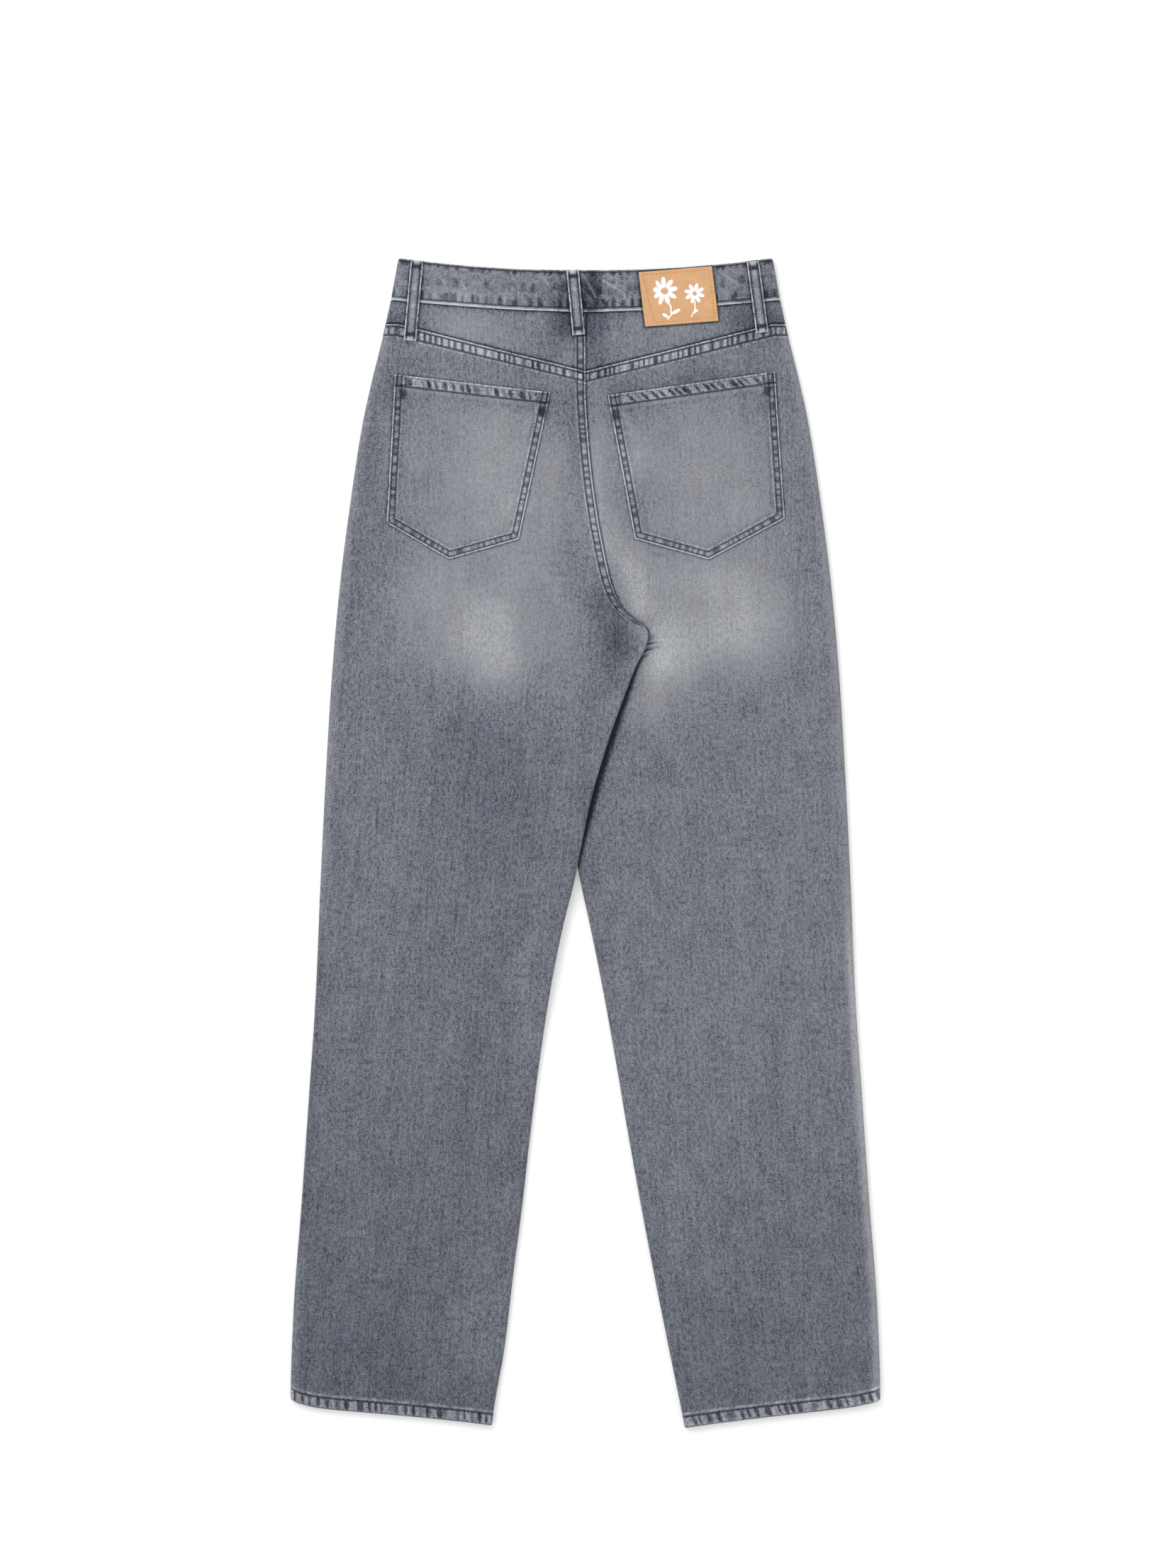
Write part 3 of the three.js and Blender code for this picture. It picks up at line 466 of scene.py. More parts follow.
def seam_section(distance, rows):
    """Height of a stitched seam over its distance from the turned edge: 1 on top, lower at the stitches."""
    first, second = rows
    body = smooth(distance / 0.7 + 0.25) * (1 - smooth((distance - second - 0.8) / 1.2))
    pressed = bell(distance - first, 0.55) + bell(distance - second, 0.6)
    return body - 0.45 * pressed


def shade_beside(away, start, reach):
    """How shaded the cloth is beside something that lies on it: 0 darkest, 1 not at all."""
    return np.clip(start + away / reach, 0, 1)


def shade_beside_path(x, y, path, start, reach):
    return shade_beside(distance_to_path(x, y, path)[0], start, reach)


def shade_at_waist(x, y, shade):
    """The shade, with that beside the belt loops and the patch."""
    for path in LOOP_OUTLINES.values():
        shade = np.minimum(shade, shade_beside_path(x, y, path, 0.4, 4.0))
    return np.minimum(shade, shade_beside_path(x, y, [*PATCH, PATCH[0]], 0.3, 4.0))


# Making meshes


def deselect():
    bpy.ops.object.select_all(action="DESELECT")


def activate(piece):
    deselect()
    piece.select_set(True)
    bpy.context.view_layer.objects.active = piece


def finish_piece(piece, nodes, angle=55):
    """Smooths a finished mesh, and says what it stands for."""
    activate(piece)
    bpy.ops.object.shade_smooth_by_angle(angle=math.radians(angle))
    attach(piece, "root")
    if nodes:
        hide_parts(*nodes)
    return piece


def cloth(name, points, uv, values, wall, reverse):
    """A sheet shaped from a grid, with its wall turned inwards. Rows of points run from waist to hem.
    reverse says that the columns run the other way than the outside needs."""
    rows, columns = points.shape[:2]
    order = (slice(None, None, -1), slice(None, None, -1 if reverse else 1))
    deselect()
    bpy.ops.mesh.primitive_grid_add(x_subdivisions=columns - 1, y_subdivisions=rows - 1, size=1)
    piece = bpy.context.object
    piece.name = piece.data.name = name
    mesh = piece.data
    if len(mesh.vertices) != rows * columns:
        raise ValueError(f"{name}: the grid has {len(mesh.vertices)} points, not {rows * columns}")
    mesh.vertices.foreach_set("co", (points[order] * MM).ravel())
    corners = np.zeros(len(mesh.loops), int)
    mesh.loops.foreach_get("vertex_index", corners)
    flat = (uv[order] * MM).reshape(-1, 2)
    mesh.uv_layers.active.data.foreach_set("uv", flat[corners].ravel())
    for key, value in values.items():
        attribute = mesh.attributes.new(key, "FLOAT", "POINT")
        spread = np.broadcast_to(value, (rows, columns))[order]
        attribute.data.foreach_set("value", spread.astype(np.float32).ravel())
    mesh.update()
    solid = piece.modifiers.new("Wall", "SOLIDIFY")
    solid.thickness = wall
    solid.offset = -1
    activate(piece)
    bpy.ops.object.modifier_apply(modifier=solid.name)
    return piece


def flat_places(points, start=None, shift=0.0, lean=0.0):
    """Places on the flat cloth: distance along each row, and down each column. With a start column, that
    column keeps its own x. shift moves the pattern. lean tilts the grain, as along a leg, below the seat."""
    across = np.linalg.norm(np.diff(points, axis=1), axis=2)
    across = np.concatenate([np.zeros((len(points), 1)), np.cumsum(across, axis=1)], axis=1)
    if start is not None:
        x = points[:, start : start + 1, 0]
        onward = np.sign(points[:, start + 1 : start + 2, 0] - x)
        across = x + onward * (across - across[:, start : start + 1])
    y = points[:, :, 1]
    return np.stack([across - lean * np.maximum(0, 170 - y) + shift, y + shift * 1.3], axis=2)


class Surface:
    """Feels for the outer face of finished pieces from above or from below."""

    def __init__(self, names, below=False):
        graph = bpy.context.evaluated_depsgraph_get()
        self.trees = [BVHTree.FromObject(bpy.data.objects[name], graph) for name in names]
        self.sign = -1 if below else 1

    def height(self, x, y, reach=0.0):
        """Height in millimetres at a place, or the most within reach of it."""
        found = []
        for dx, dy in ((0, 0), (reach, 0), (-reach, 0), (0, reach), (0, -reach))[: 5 if reach else 1]:
            start = Vector(((x + dx) * MM, (y + dy) * MM, self.sign * 0.1))
            for tree in self.trees:
                place = tree.ray_cast(start, Vector((0, 0, -self.sign)))[0]
                if place is not None:
                    found.append(place.z / MM)
        if not found:
            return None
        return max(found) if self.sign > 0 else min(found)

    def heights(self, x, y, reach):
        return np.array([[self.height(a, b, reach) or 0 for a, b in zip(*row)] for row in zip(x, y)])


def soften(grid, times):
    """Evens out a grid of heights, as stiff cloth or leather spans small steps."""
    for _ in range(times):
        padded = np.pad(grid, 1, mode="edge")
        around = padded[:-2, 1:-1] + padded[2:, 1:-1] + padded[1:-1, :-2] + padded[1:-1, 2:]
        grid = np.maximum(grid, (around + 4 * grid) / 8)
    return grid


# Materials


BUMP_DEPTH = 0.0003  # relief of a thread, in metres


class Nodes:
    """Short ways to add and join the nodes of one material."""

    def __init__(self, tree):
        self.tree = tree

    def add(self, kind, **settings):
        node = self.tree.nodes.new(kind)
        for key, value in settings.items():
            setattr(node, key, value)
        return node

    def put(self, socket, value):
        if isinstance(value, bpy.types.NodeSocket):
            self.tree.links.new(value, socket)
        else:
            socket.default_value = value

    def math(self, operation, *values, clamp=False):
        node = self.add("ShaderNodeMath", operation=operation, use_clamp=clamp)
        for socket, value in zip(node.inputs, values):
            self.put(socket, value)
        return node.outputs[0]

    def attribute(self, name):
        return self.add("ShaderNodeAttribute", attribute_name=name).outputs["Fac"]

    def ease(self, value, start, end, before, after):
        """before up to start, after from end on, and a smooth change between."""
        node = self.add("ShaderNodeMapRange", interpolation_type="SMOOTHSTEP")
        for socket, part in zip(node.inputs, (value, start, end, before, after)):
            self.put(socket, part)
        return node.outputs[0]

    def noise_along(self, value, size, seed):
        """Smooth random values between 0 and 1 along a line, changing over the size."""
        node = self.add("ShaderNodeTexNoise", noise_dimensions="1D")
        self.put(node.inputs["W"], self.math("MULTIPLY_ADD", value, 1 / size, seed))
        node.inputs["Scale"].default_value = 1
        node.inputs["Detail"].default_value = 1
        return node.outputs["Fac"]

    def on_object(self):
        return self.add("ShaderNodeTexCoord").outputs["Object"]

    def stretched(self, vector, scale):
        node = self.add("ShaderNodeMapping")
        self.put(node.inputs["Vector"], vector)
        node.inputs["Scale"].default_value = scale
        return node.outputs[0]

    def noise(self, vector, scale, detail=2.0, roughness=0.5):
        node = self.add("ShaderNodeTexNoise")
        self.put(node.inputs["Vector"], vector)
        node.inputs["Scale"].default_value = scale
        node.inputs["Detail"].default_value = detail
        node.inputs["Roughness"].default_value = roughness
        return node.outputs["Fac"]

    def ramp(self, value, stops):
        node = self.add("ShaderNodeValToRGB")
        self.put(node.inputs[0], value)
        elements = node.color_ramp.elements
        while len(elements) < len(stops):
            elements.new(0.5)
        for element, (position, shade) in zip(elements, stops):
            element.position = position
            element.color = (*shade, 1)
        return node.outputs[0]

    def bump(self, height, strength, distance):
        node = self.add("ShaderNodeBump")
        self.put(node.inputs["Height"], height)
        node.inputs["Strength"].default_value = strength
        node.inputs["Distance"].default_value = distance
        return node.outputs[0]


def new_material(name, roughness, metallic=0.0, sheen=0.0, specular=0.5):
    material = bpy.data.materials.new(name)
    material.use_nodes = True
    nodes = Nodes(material.node_tree)
    shader = material.node_tree.nodes["Principled BSDF"]
    shader.inputs["Roughness"].default_value = roughness
    shader.inputs["Metallic"].default_value = metallic
    shader.inputs["Specular IOR Level"].default_value = specular
    shader.inputs["Sheen Weight"].default_value = sheen
    shader.inputs["Sheen Roughness"].default_value = 0.6
    return material, nodes, shader


def sewn_seam(nodes, distance, rows, light):
    """Light and dark lines of a stitched seam over the distance from its turned edge."""
    pale = nodes.ease(distance, 0.85, 1.55, light, 0.0)
    dark = 0.0
    for row in rows:
        if row < ALONE:
            away = nodes.math("ABSOLUTE", nodes.math("SUBTRACT", distance, row))
            dark = nodes.math("MAXIMUM", nodes.ease(away, 0.25, 1.35, 1.0, 0.0), dark)
            ridge = nodes.math("ABSOLUTE", nodes.math("SUBTRACT", distance, row + 1.7))
            beyond = nodes.ease(ridge, 0.2, 1.0, light * 0.45, 0.0) if row == rows[1] else 0.0
            pale = nodes.math("MAXIMUM", pale, beyond)
    return pale, dark


def gathered(nodes, gathers, line, ragged):
    """Two masks of a gathered seam: all of it, and its dark dips."""
    distance = nodes.attribute(gathers.distance)
    line = nodes.math("MULTIPLY_ADD", distance, gathers.lean, line)
    drift = nodes.noise_along(line, 31, gathers.pitch)
    phase = nodes.math("MULTIPLY_ADD", drift, 2.4, nodes.math("MULTIPLY", line, 1 / gathers.pitch))
    nearest = nodes.math("PINGPONG", phase, 0.5)
    middle = (gathers.first + gathers.last) / 2
    half = (gathers.last - gathers.first) / 2
    share_out = nodes.math("MULTIPLY", nodes.math("SUBTRACT", distance, middle), 1 / half)
    squared = nodes.math("MULTIPLY", share_out, share_out)
    nearest = nodes.math("MULTIPLY_ADD", squared, gathers.rounded, nearest)
    nearest = nodes.math("MULTIPLY_ADD", nodes.math("SUBTRACT", ragged, 0.5), 0.16, nearest)
    width = nodes.ease(nodes.noise_along(line, 16, gathers.pitch + 40), 0.3, 0.7, 0.3, 0.7)
    over = nodes.math("MULTIPLY_ADD", width, -gathers.share, nearest)
    dip = nodes.ease(over, -0.17, 0.17, 1.0, 0.0)
    depth = nodes.ease(nodes.noise_along(line, 8, gathers.pitch + 80), 0.3, 0.56, 0.35, 1.0)
    uneven = nodes.noise_along(line, 7, gathers.pitch + 120)
    reach = nodes.math("MULTIPLY_ADD", nodes.math("SUBTRACT", uneven, 0.5), 3.0 * gathers.ragged, distance)
    after_first = nodes.ease(distance, gathers.first - 0.7, gathers.first + 0.7, 0.0, 1.0)
    before_last = nodes.ease(reach, gathers.last - 0.9, gathers.last + 0.8, 1.0, 0.0)
    inside = nodes.math("MULTIPLY", after_first, before_last)
    return inside, nodes.math("MULTIPLY", inside, nodes.math("MULTIPLY", dip, depth))


def denim(name, seams=(), gathers=(), dark=0.34, light=0.36, mottle=0.0, shaded=False):
    """Washed denim. A seam is an attribute that holds the distance from its edge, and its rows of stitches.
    dark and light are the strength of its lines, mottle of a coarse grain, and shaded adds the shade beside
    what lies on the cloth."""
    settings = bpy.context.scene.jeans_cloth
    sewing = bpy.context.scene.jeans_sewing
    grain = settings.grain
    material, nodes, shader = new_material(name, 0.92, sheen=0.1, specular=0.2)
    place = nodes.add("ShaderNodeUVMap", uv_map="UVMap").outputs[0]
    pepper = nodes.noise(nodes.stretched(place, (1.0, 0.85, 1.0)), 800, 3.0, 0.7)
    fibre = nodes.noise(nodes.stretched(place, (1.0, 0.5, 1.0)), 420, 3.0, 0.66)
    slub = nodes.noise(nodes.stretched(place, (1.0, 0.06, 1.0)), 330, 2.0, 0.55)
    cloud = nodes.noise(nodes.stretched(place, (1.0, 0.6, 1.0)), 60, 4.0, 0.65)
    tone = nodes.attribute("tone")
    parts = [(pepper, grain * 3.3), (fibre, grain * 2.25), (slub, grain * 0.7), (cloud, grain * 0.8)]
    if mottle:
        parts.append((nodes.noise(nodes.stretched(place, (0.5, 1.0, 1.0)), 230, 3.0, 0.6), mottle))
    grainy = 0.011  # makes up for the flecks, which only darken
    for part, strength in parts:
        grainy = nodes.math("MULTIPLY_ADD", nodes.math("SUBTRACT", part, 0.5), strength, grainy)
    flecks = nodes.math("MULTIPLY", grainy, grainy)
    grainy = nodes.math("MULTIPLY_ADD", flecks, -1.0, grainy)
    calmer_where_faded = nodes.ease(tone, 0.5, 0.74, 1.0, 0.46)
    tone = nodes.math("MULTIPLY_ADD", grainy, calmer_where_faded, tone)
    broken = nodes.ease(fibre, 0.36, 0.6, 0.45, 1.15)
    for attribute, rows in seams:
        pale, deep = sewn_seam(nodes, nodes.attribute(attribute), rows, light)
        tone = nodes.math("MULTIPLY_ADD", pale, broken, tone)
        tone = nodes.math("MULTIPLY_ADD", nodes.math("MULTIPLY", deep, -dark), broken, tone)
    puckers = 0.0
    separate = nodes.add("ShaderNodeSeparateXYZ")
    nodes.put(separate.inputs[0], place)
    for one in gathers:
        axis = {"u": 0, "v": 1}.get(one.along)
        if axis is None:
            line = nodes.attribute(one.along)
        else:
            line = nodes.math("DIVIDE", separate.outputs[axis], MM)
        inside, dip = gathered(nodes, one, line, fibre)
        tone = nodes.math("MULTIPLY_ADD", inside, one.lighter, tone)
        tone = nodes.math("MULTIPLY_ADD", dip, -one.lighter - one.darker, tone)
        puckers = nodes.math("ADD", dip, puckers)
    if shaded:
        shadow = nodes.ease(nodes.attribute("shade"), 0.0, 1.0, 0.62, 0.0)
        tone = nodes.math("SUBTRACT", tone, shadow)
    # The first stop is also where the painted shade of the shade attribute takes the tone
    stops = [settings.ink_and_shadow, settings.deep, settings.middle, settings.pale, settings.white]
    tone = nodes.math("MAXIMUM", tone, 0.0, clamp=True)
    shade = nodes.ramp(tone, [(0.25 * step, stop) for step, stop in enumerate(stops)])
    hue = nodes.add("ShaderNodeMix", data_type="RGBA", blend_type="MULTIPLY")
    nodes.put(hue.inputs["Factor"], 1.0)
    nodes.put(hue.inputs["A"], shade)
    tint = nodes.noise(nodes.stretched(place, (1.0, 0.5, 1.0)), 50, 3.0, 0.6)
    nodes.put(hue.inputs["B"], nodes.ramp(tint, [(0.3, (0.960, 1.0, 1.012)), (0.7, (1.032, 0.996, 0.998))]))
    nodes.put(shader.inputs["Base Color"], hue.outputs["Result"])
    twill = nodes.add("ShaderNodeTexWave", wave_type="BANDS", bands_direction="DIAGONAL")
    nodes.put(twill.inputs["Vector"], place)
    twill.inputs["Scale"].default_value = 420
    twill.inputs["Distortion"].default_value = 4.0
    twill.inputs["Detail"].default_value = 2.0
    height = nodes.math("MULTIPLY_ADD", twill.outputs["Fac"], 0.3, nodes.math("ADD", pepper, fibre))
    if gathers:
        height = nodes.math("MULTIPLY_ADD", puckers, -sewing.gather_rise / BUMP_DEPTH, height)
    nodes.put(shader.inputs["Normal"], nodes.bump(height, 0.6, BUMP_DEPTH))
    return material


def speckled(nodes, shader, noise, stops, strength, depth):
    """Colours and roughens a surface by one fine noise, and returns it."""
    speckle = nodes.noise(nodes.on_object(), *noise)
    nodes.put(shader.inputs["Base Color"], nodes.ramp(speckle, stops))
    nodes.put(shader.inputs["Normal"], nodes.bump(speckle, strength, depth))
    return speckle


def thread(name, shade):
    """Twisted sewing thread."""
    material, nodes, shader = new_material(name, 0.75, specular=0.3)
    light = [min(1, part * 2.1 + 0.02) for part in shade]
    speckled(nodes, shader, (1500, 2.0, 0.6), [(0.3, shade), (0.75, light)], 0.6, BUMP_DEPTH)
    return material


def leather(name):
    """Smooth tan leather with a fine grain, darker at its cut edge."""
    settings = bpy.context.scene.jeans_cloth
    material, nodes, shader = new_material(name, 0.55, specular=0.35)
    place = nodes.on_object()
    mottle = nodes.noise(place, 120, 4.0, 0.6)
    pores = nodes.add("ShaderNodeTexVoronoi", feature="DISTANCE_TO_EDGE")
    nodes.put(pores.inputs["Vector"], place)
    pores.inputs["Scale"].default_value = 1400
    creased = nodes.ease(pores.outputs["Distance"], 0.0, 0.12, 0.0, 1.0)
    tan = list(settings.tan)
    darker = [part * 0.9 for part in tan]
    lighter = [min(1, part * 1.06) for part in tan]
    rim = nodes.ease(nodes.attribute("rim"), 0.0, 1.0, 0.0, 1.0)
    shade = nodes.ramp(mottle, [(0.3, darker), (0.7, lighter)])
    worn = nodes.add("ShaderNodeMix", data_type="RGBA")
    nodes.put(worn.inputs["Factor"], rim)
    worn.inputs["A"].default_value = (*[part * 0.72 for part in tan], 1)
    nodes.put(worn.inputs["B"], shade)
    nodes.put(shader.inputs["Base Color"], worn.outputs["Result"])
    nodes.put(shader.inputs["Roughness"], nodes.ease(mottle, 0.3, 0.7, 0.48, 0.64))
    nodes.put(shader.inputs["Normal"], nodes.bump(nodes.math("ADD", creased, mottle), 0.35, 0.0002))
    return material


def print_ink(name):
    """White print on the leather, a little cracked."""
    material, nodes, shader = new_material(name, 0.6, specular=0.3)
    stops = [(0.28, srgb(226, 205, 184)), (0.42, srgb(250, 249, 247))]
    speckled(nodes, shader, (900, 3.0, 0.6), stops, 0.3, 0.0002)
    return material


def metal(name, shade, scale):
    """Tumbled grey metal."""
    material, nodes, shader = new_material(name, 0.4, metallic=1.0)
    darker = [part * 0.7 for part in shade]
    scuffs = speckled(nodes, shader, (scale, 4.0, 0.65), [(0.3, darker), (0.7, shade)], 0.3, 0.0002)
    nodes.put(shader.inputs["Roughness"], nodes.ease(scuffs, 0.3, 0.7, 0.28, 0.5))
    return material


# Pieces


def back_rows(side):
    """Inner height of each row of a back piece, and how far down its turned-up hem each row is."""
    seam = YOKE_POINT - SEAM_GAP / 2
    hem = HEM[side][0]
    steps = [
        np.linspace(seam, seam - 12, 15),  # fine rows over the yoke seam
        np.linspace(seam - 13.5, 180, 126),  # the seat
        np.linspace(176, hem + 18, 112),  # the leg, in wider rows
        np.linspace(hem + 16.5, hem + 0.4, 19),  # fine rows over the hem
    ]
    heights = np.concatenate(steps)
    turn = [
        (hem, 0.12), (hem - 0.1, 0.45), (hem + 0.1, 0.8),
        (hem + 1.2, 1.0), (hem + 6, 1.0), (hem + HEM_DEPTH, 1.0),
    ]
    heights = np.concatenate([heights, [height for height, _ in turn]])
    folded = np.concatenate([np.zeros(len(heights) - len(turn)), [part for _, part in turn]])
    return heights, folded


def joined(columns):
    """Points and outward directions of a grid from its columns, and the value that each column carries."""
    x, y, z, out_x, out_z, value = [np.concatenate(parts, axis=1) for parts in zip(*columns)]
    return np.stack([x, y, z], axis=2), np.stack([out_x, np.zeros_like(out_x), out_z], axis=2), value


def inner_turn(side, inner_y, width):
    """Where the turn of an inner edge starts, its length, and its columns: the place across, how far off the
    flat cloth, how far turned, and what is left of the length."""
    length_mm = (inner_fold_loft(side, inner_y) - SEAM_GAP) / 2 * math.pi / 2
    angle = edge_turn(side, inner_y) * math.pi / 2
    start = width - length_mm * np.sinc(angle / math.pi)
    columns = []
    for part in np.linspace(0, 1, 7)[1:]:
        bend = angle * part
        safe = np.maximum(bend, 1e-5)
        across = start + length_mm * part * np.sin(safe) / safe
        off = length_mm * part * (1 - np.cos(safe)) / safe
        columns.append((across, off, bend, length_mm * (1 - part)))
    return start, length_mm, columns


def back_tables(side, inner_y, outer_y, inner_x, top_line=None):
    """Places, outward directions and flat distances of a back piece's rows."""
    edge = follow(SIDE_EDGE, outer_y)[:, None]
    width = edge - side * (inner_x[:, None] + side * SEAM_GAP / 2)

    def plan(w):
        level = mix(outer_y[:, None], inner_y[:, None], np.maximum(0, w - WRAP) / (width - WRAP))
        x = side * (edge - w)
        y = level + hem_sag(side, inner_y[:, None], w, width)
        return x, y if top_line is None else top_line(x, y)

    def height(w):
        return seat_top(side, *plan(w))

    radius = height(np.full_like(width, 3.0)) / 2
    parts = []

    def put(w, z, out_x, out_z, distance):
        x, y = plan(w)
        shape = np.broadcast_shapes(x.shape, np.shape(z))
        parts.append([np.broadcast_to(value, shape) for value in (x, y, z, out_x, out_z, distance)])

    for t in np.linspace(0, 1, 5):
        w = mix(WRAP, radius + 0.8, t)
        put(w, 0 * w, 0, -1, width - radius * (2 - math.pi) + w)
    for angle in np.linspace(-math.pi / 2, math.pi / 2, 13)[1:-1]:
        across, up = math.cos(angle), math.sin(angle)
        arc = radius * (angle - math.pi / 2)
        put(radius - radius * across, radius + radius * up, side * across, up, width - radius - arc)
    start, turn_length, turn = inner_turn(side, inner_y[:, None], width)
    flat_end = start - FLAT_BEFORE_TURN
    for t in np.linspace(0, 1, 96):
        w = mix(radius, flat_end, t)
        put(w, height(w), 0, 1, width - w)
    for t in np.linspace(0, 1, 8)[1:]:
        w = mix(flat_end, start, t)
        put(w, height(w), 0, 1, mix(turn_length + FLAT_BEFORE_TURN, turn_length, t))
    level = height(start)
    for w, drop, bend, rest in turn:
        put(w, level - drop, -side * np.sin(bend), np.cos(bend), rest)
    return joined(parts)


def make_back(side):
    settings = bpy.context.scene.jeans_cloth
    inner_y, folded = back_rows(side)
    yoke_slope = YOKE_SIDE_RISE * smooth((inner_y - 300) / (YOKE_POINT - 300))
    hem, tilt, _ = HEM[side]
    outer_y = inner_y + yoke_slope + tilt * smooth((-inner_y - 300) / 216)
    points, out, from_inner = back_tables(side, inner_y, outer_y, inner_edge(side, inner_y))
    x, y = points[:, :, 0], points[:, :, 1]
    rows = np.broadcast_to(inner_y[:, None], x.shape)
    from_yoke = YOKE_POINT - SEAM_GAP / 2 - rows
    from_hem = np.where(folded[:, None] > 0, 0, rows - hem)
    seated = smooth((rows - 186) / 8) if side < 0 else np.zeros_like(x)
    from_seat = np.where(seated > 0, from_inner, FAR) + 40 * (1 - seated)
    relief = SEAM_RISE * seam_section(from_yoke, YOKE_ROWS)
    relief = np.maximum(relief, SEAM_RISE * seam_section(from_seat, SEAT_ROWS)) if side < 0 else relief
    relief = relief + 0.35 * near(from_hem - 5.5, 4.6, 1.8)
    relief = relief - 0.3 * bell(from_hem - HEM_ROW, 0.7) + 0.3 * near(from_hem - HEM_DEPTH, 0.4, 1.8)
    calm = smooth((from_yoke - 12) / 10) * smooth((from_hem - 14) / 10) * smooth((from_inner - 6) / 12)
    relief = relief + creases(x, y) * calm * 0.6
    facing_up = np.clip(out[:, :, 2:], 0, 1)
    points = points + out * relief[:, :, None] * facing_up
    points = points - out * (HEM_INSET * folded)[:, None, None]
    tone = leg_tone(x, y)
    tone = tone + 0.05 * near(from_hem - 5.6, 4.4, 1.6) * (folded[:, None] == 0)
    worn = np.clip(0.72 + 0.55 * wobble(x / 4.4, 4), 0.1, 1.2)
    tone = tone + 0.36 * worn * near(from_hem - 12.0, 0.4, 1.5) - 0.3 * near(from_hem - HEM_ROW, 0.4, 1.2)
    tone = tone + 0.10 * worn * (1 - smooth((from_hem - 0.8) / 1.8)) * (folded[:, None] == 0)
    # Painted light and shade of soft puckers below the yoke seam, which the mesh doesn't have
    tone = tone + 0.05 * near(from_yoke - 13, 1.0, 4.0) * wobble(x / 3.1, 3)
    tone = tone - 0.05 * near(from_seat - 11.5, 1.0, 5)
    # Painted light and shade of the creases: their ridges drawn lighter and their troughs darker
    tone = tone + 0.07 * creases(x, y)
    # Painted light along the rounded outer fold of each leg, and painted shade at the left leg's lower edge
    along_leg = smooth((-y - 20) / 90) * (1 - smooth((-y - 320) / 90) * (side < 0))
    painted_edge_light = mix(EDGE_PAINTED_LIGHT, LEG_EDGE_PAINTED_LIGHT[side], along_leg)
    tone = tone + painted_edge_light * near(np.abs(x) - follow(SIDE_EDGE, y), 3, 7)
    shade = shade_beside_path(x, y, POCKET_OUTLINE[side], 0.42, 3.4)
    if side > 0:
        from_left = x - follow(SEAT_SEAM, y)
        seat_shade = shade_beside(from_left, 0.2, 3.2)
        open_edge = near(y - 78, 22, 96)
        leg_shade = shade_beside(from_left - 1.6 * open_edge, 0.0, 1.4 + 5.4 * open_edge)
        shade = np.minimum(shade, np.where(y > 188, seat_shade, leg_shade))
    values = {
        "tone": tone, "shade": shade, "yoke_seam": from_yoke, "seat_seam": from_seat,
        "hem": from_hem + PAST_HEM * (folded[:, None] > 0),
    }
    name = SIDE_NAME[side]
    uv = flat_places(points, points.shape[1] // 2, PATTERN_SHIFT["back"] * side, GRAIN_LEAN * side)
    piece = cloth(f"cloth_back_{name}", points, uv, values, settings.wall, side > 0)
    seams = [("yoke_seam", YOKE_ROWS)] + ([("seat_seam", SEAT_ROWS)] if side < 0 else [])
    hem_gathers = HEM_GATHERS._replace(lean=BACK_HEM_LEAN[side], pitch=HEM_GATHERS.pitch + 0.1 * side)
    gathers = [YOKE_GATHERS, hem_gathers] + ([SEAT_GATHERS] if side < 0 else [])
    piece.data.materials.append(denim(f"denim_back_{name}", seams, gathers, shaded=True))
    finish_piece(piece, [f"back_{name}"])
    return piece


def make_yoke(side):
    settings = bpy.context.scene.jeans_cloth
    bottom = YOKE_POINT + SEAM_GAP / 2
    part = np.linspace(1, 0, 34)
    inner_y = mix(bottom, BAND_BOTTOM - SEAM_GAP, part)
    outer_y = mix(bottom + YOKE_SIDE_RISE, band_bottom(BAND_BOTTOM_HALF) - SEAM_GAP, part)

    def top_line(x, y):
        line = band_bottom(np.minimum(np.abs(x), BAND_BOTTOM_HALF - 4)) - SEAM_GAP
        return y + (line - y[:1]) * smooth(part * 1.6 - 0.6)[:, None]

    points, out, from_inner = back_tables(side, inner_y, outer_y, np.zeros_like(inner_y), top_line)
    x, y = points[:, :, 0], points[:, :, 1]
    from_seat = from_inner if side < 0 else np.full_like(x, FAR)
    relief = SEAM_RISE * seam_section(from_seat, SEAT_ROWS) * np.clip(out[:, :, 2], 0, 1)
    points = points + out * relief[:, :, None]
    below_band = band_bottom(x) - y
    above_seam = y - y[-1]
    tone = leg_tone(x, y)
    # Painted shade: the yoke is drawn darker just under the waistband's edge and just above the back piece
    # lapped over it
    tone = tone - 0.10 * near(below_band, 1.0, 5.0) - 0.08 * near(above_seam, 0.6, 3.5)
    tone = tone + 0.10 * near(x + 16.5, 2.5, 3.5) * smooth((462 - y) / 14)
    shade = np.minimum(shade_beside(below_band, 0.25, 3.4), shade_beside(above_seam, 0.2, 2.8))
    shade = shade_at_waist(x, y, shade)
    if side > 0:
        shade = np.minimum(shade, shade_beside(x, 0.25, 3.0))
    name = SIDE_NAME[side]
    values = {"tone": tone, "shade": shade, "seat_seam": from_seat}
    uv = flat_places(points, 90, PATTERN_SHIFT["yoke"] * side)
    piece = cloth(f"cloth_yoke_{name}", points, uv, values, settings.wall, side > 0)
    seams = [("seat_seam", SEAT_ROWS)] if side < 0 else []
    gathers = [YOKE_SEAT_GATHERS] if side < 0 else []
    piece.data.materials.append(denim(f"denim_yoke_{name}", seams, gathers, shaded=True))
    finish_piece(piece, [f"yoke_{name}"])
    return piece


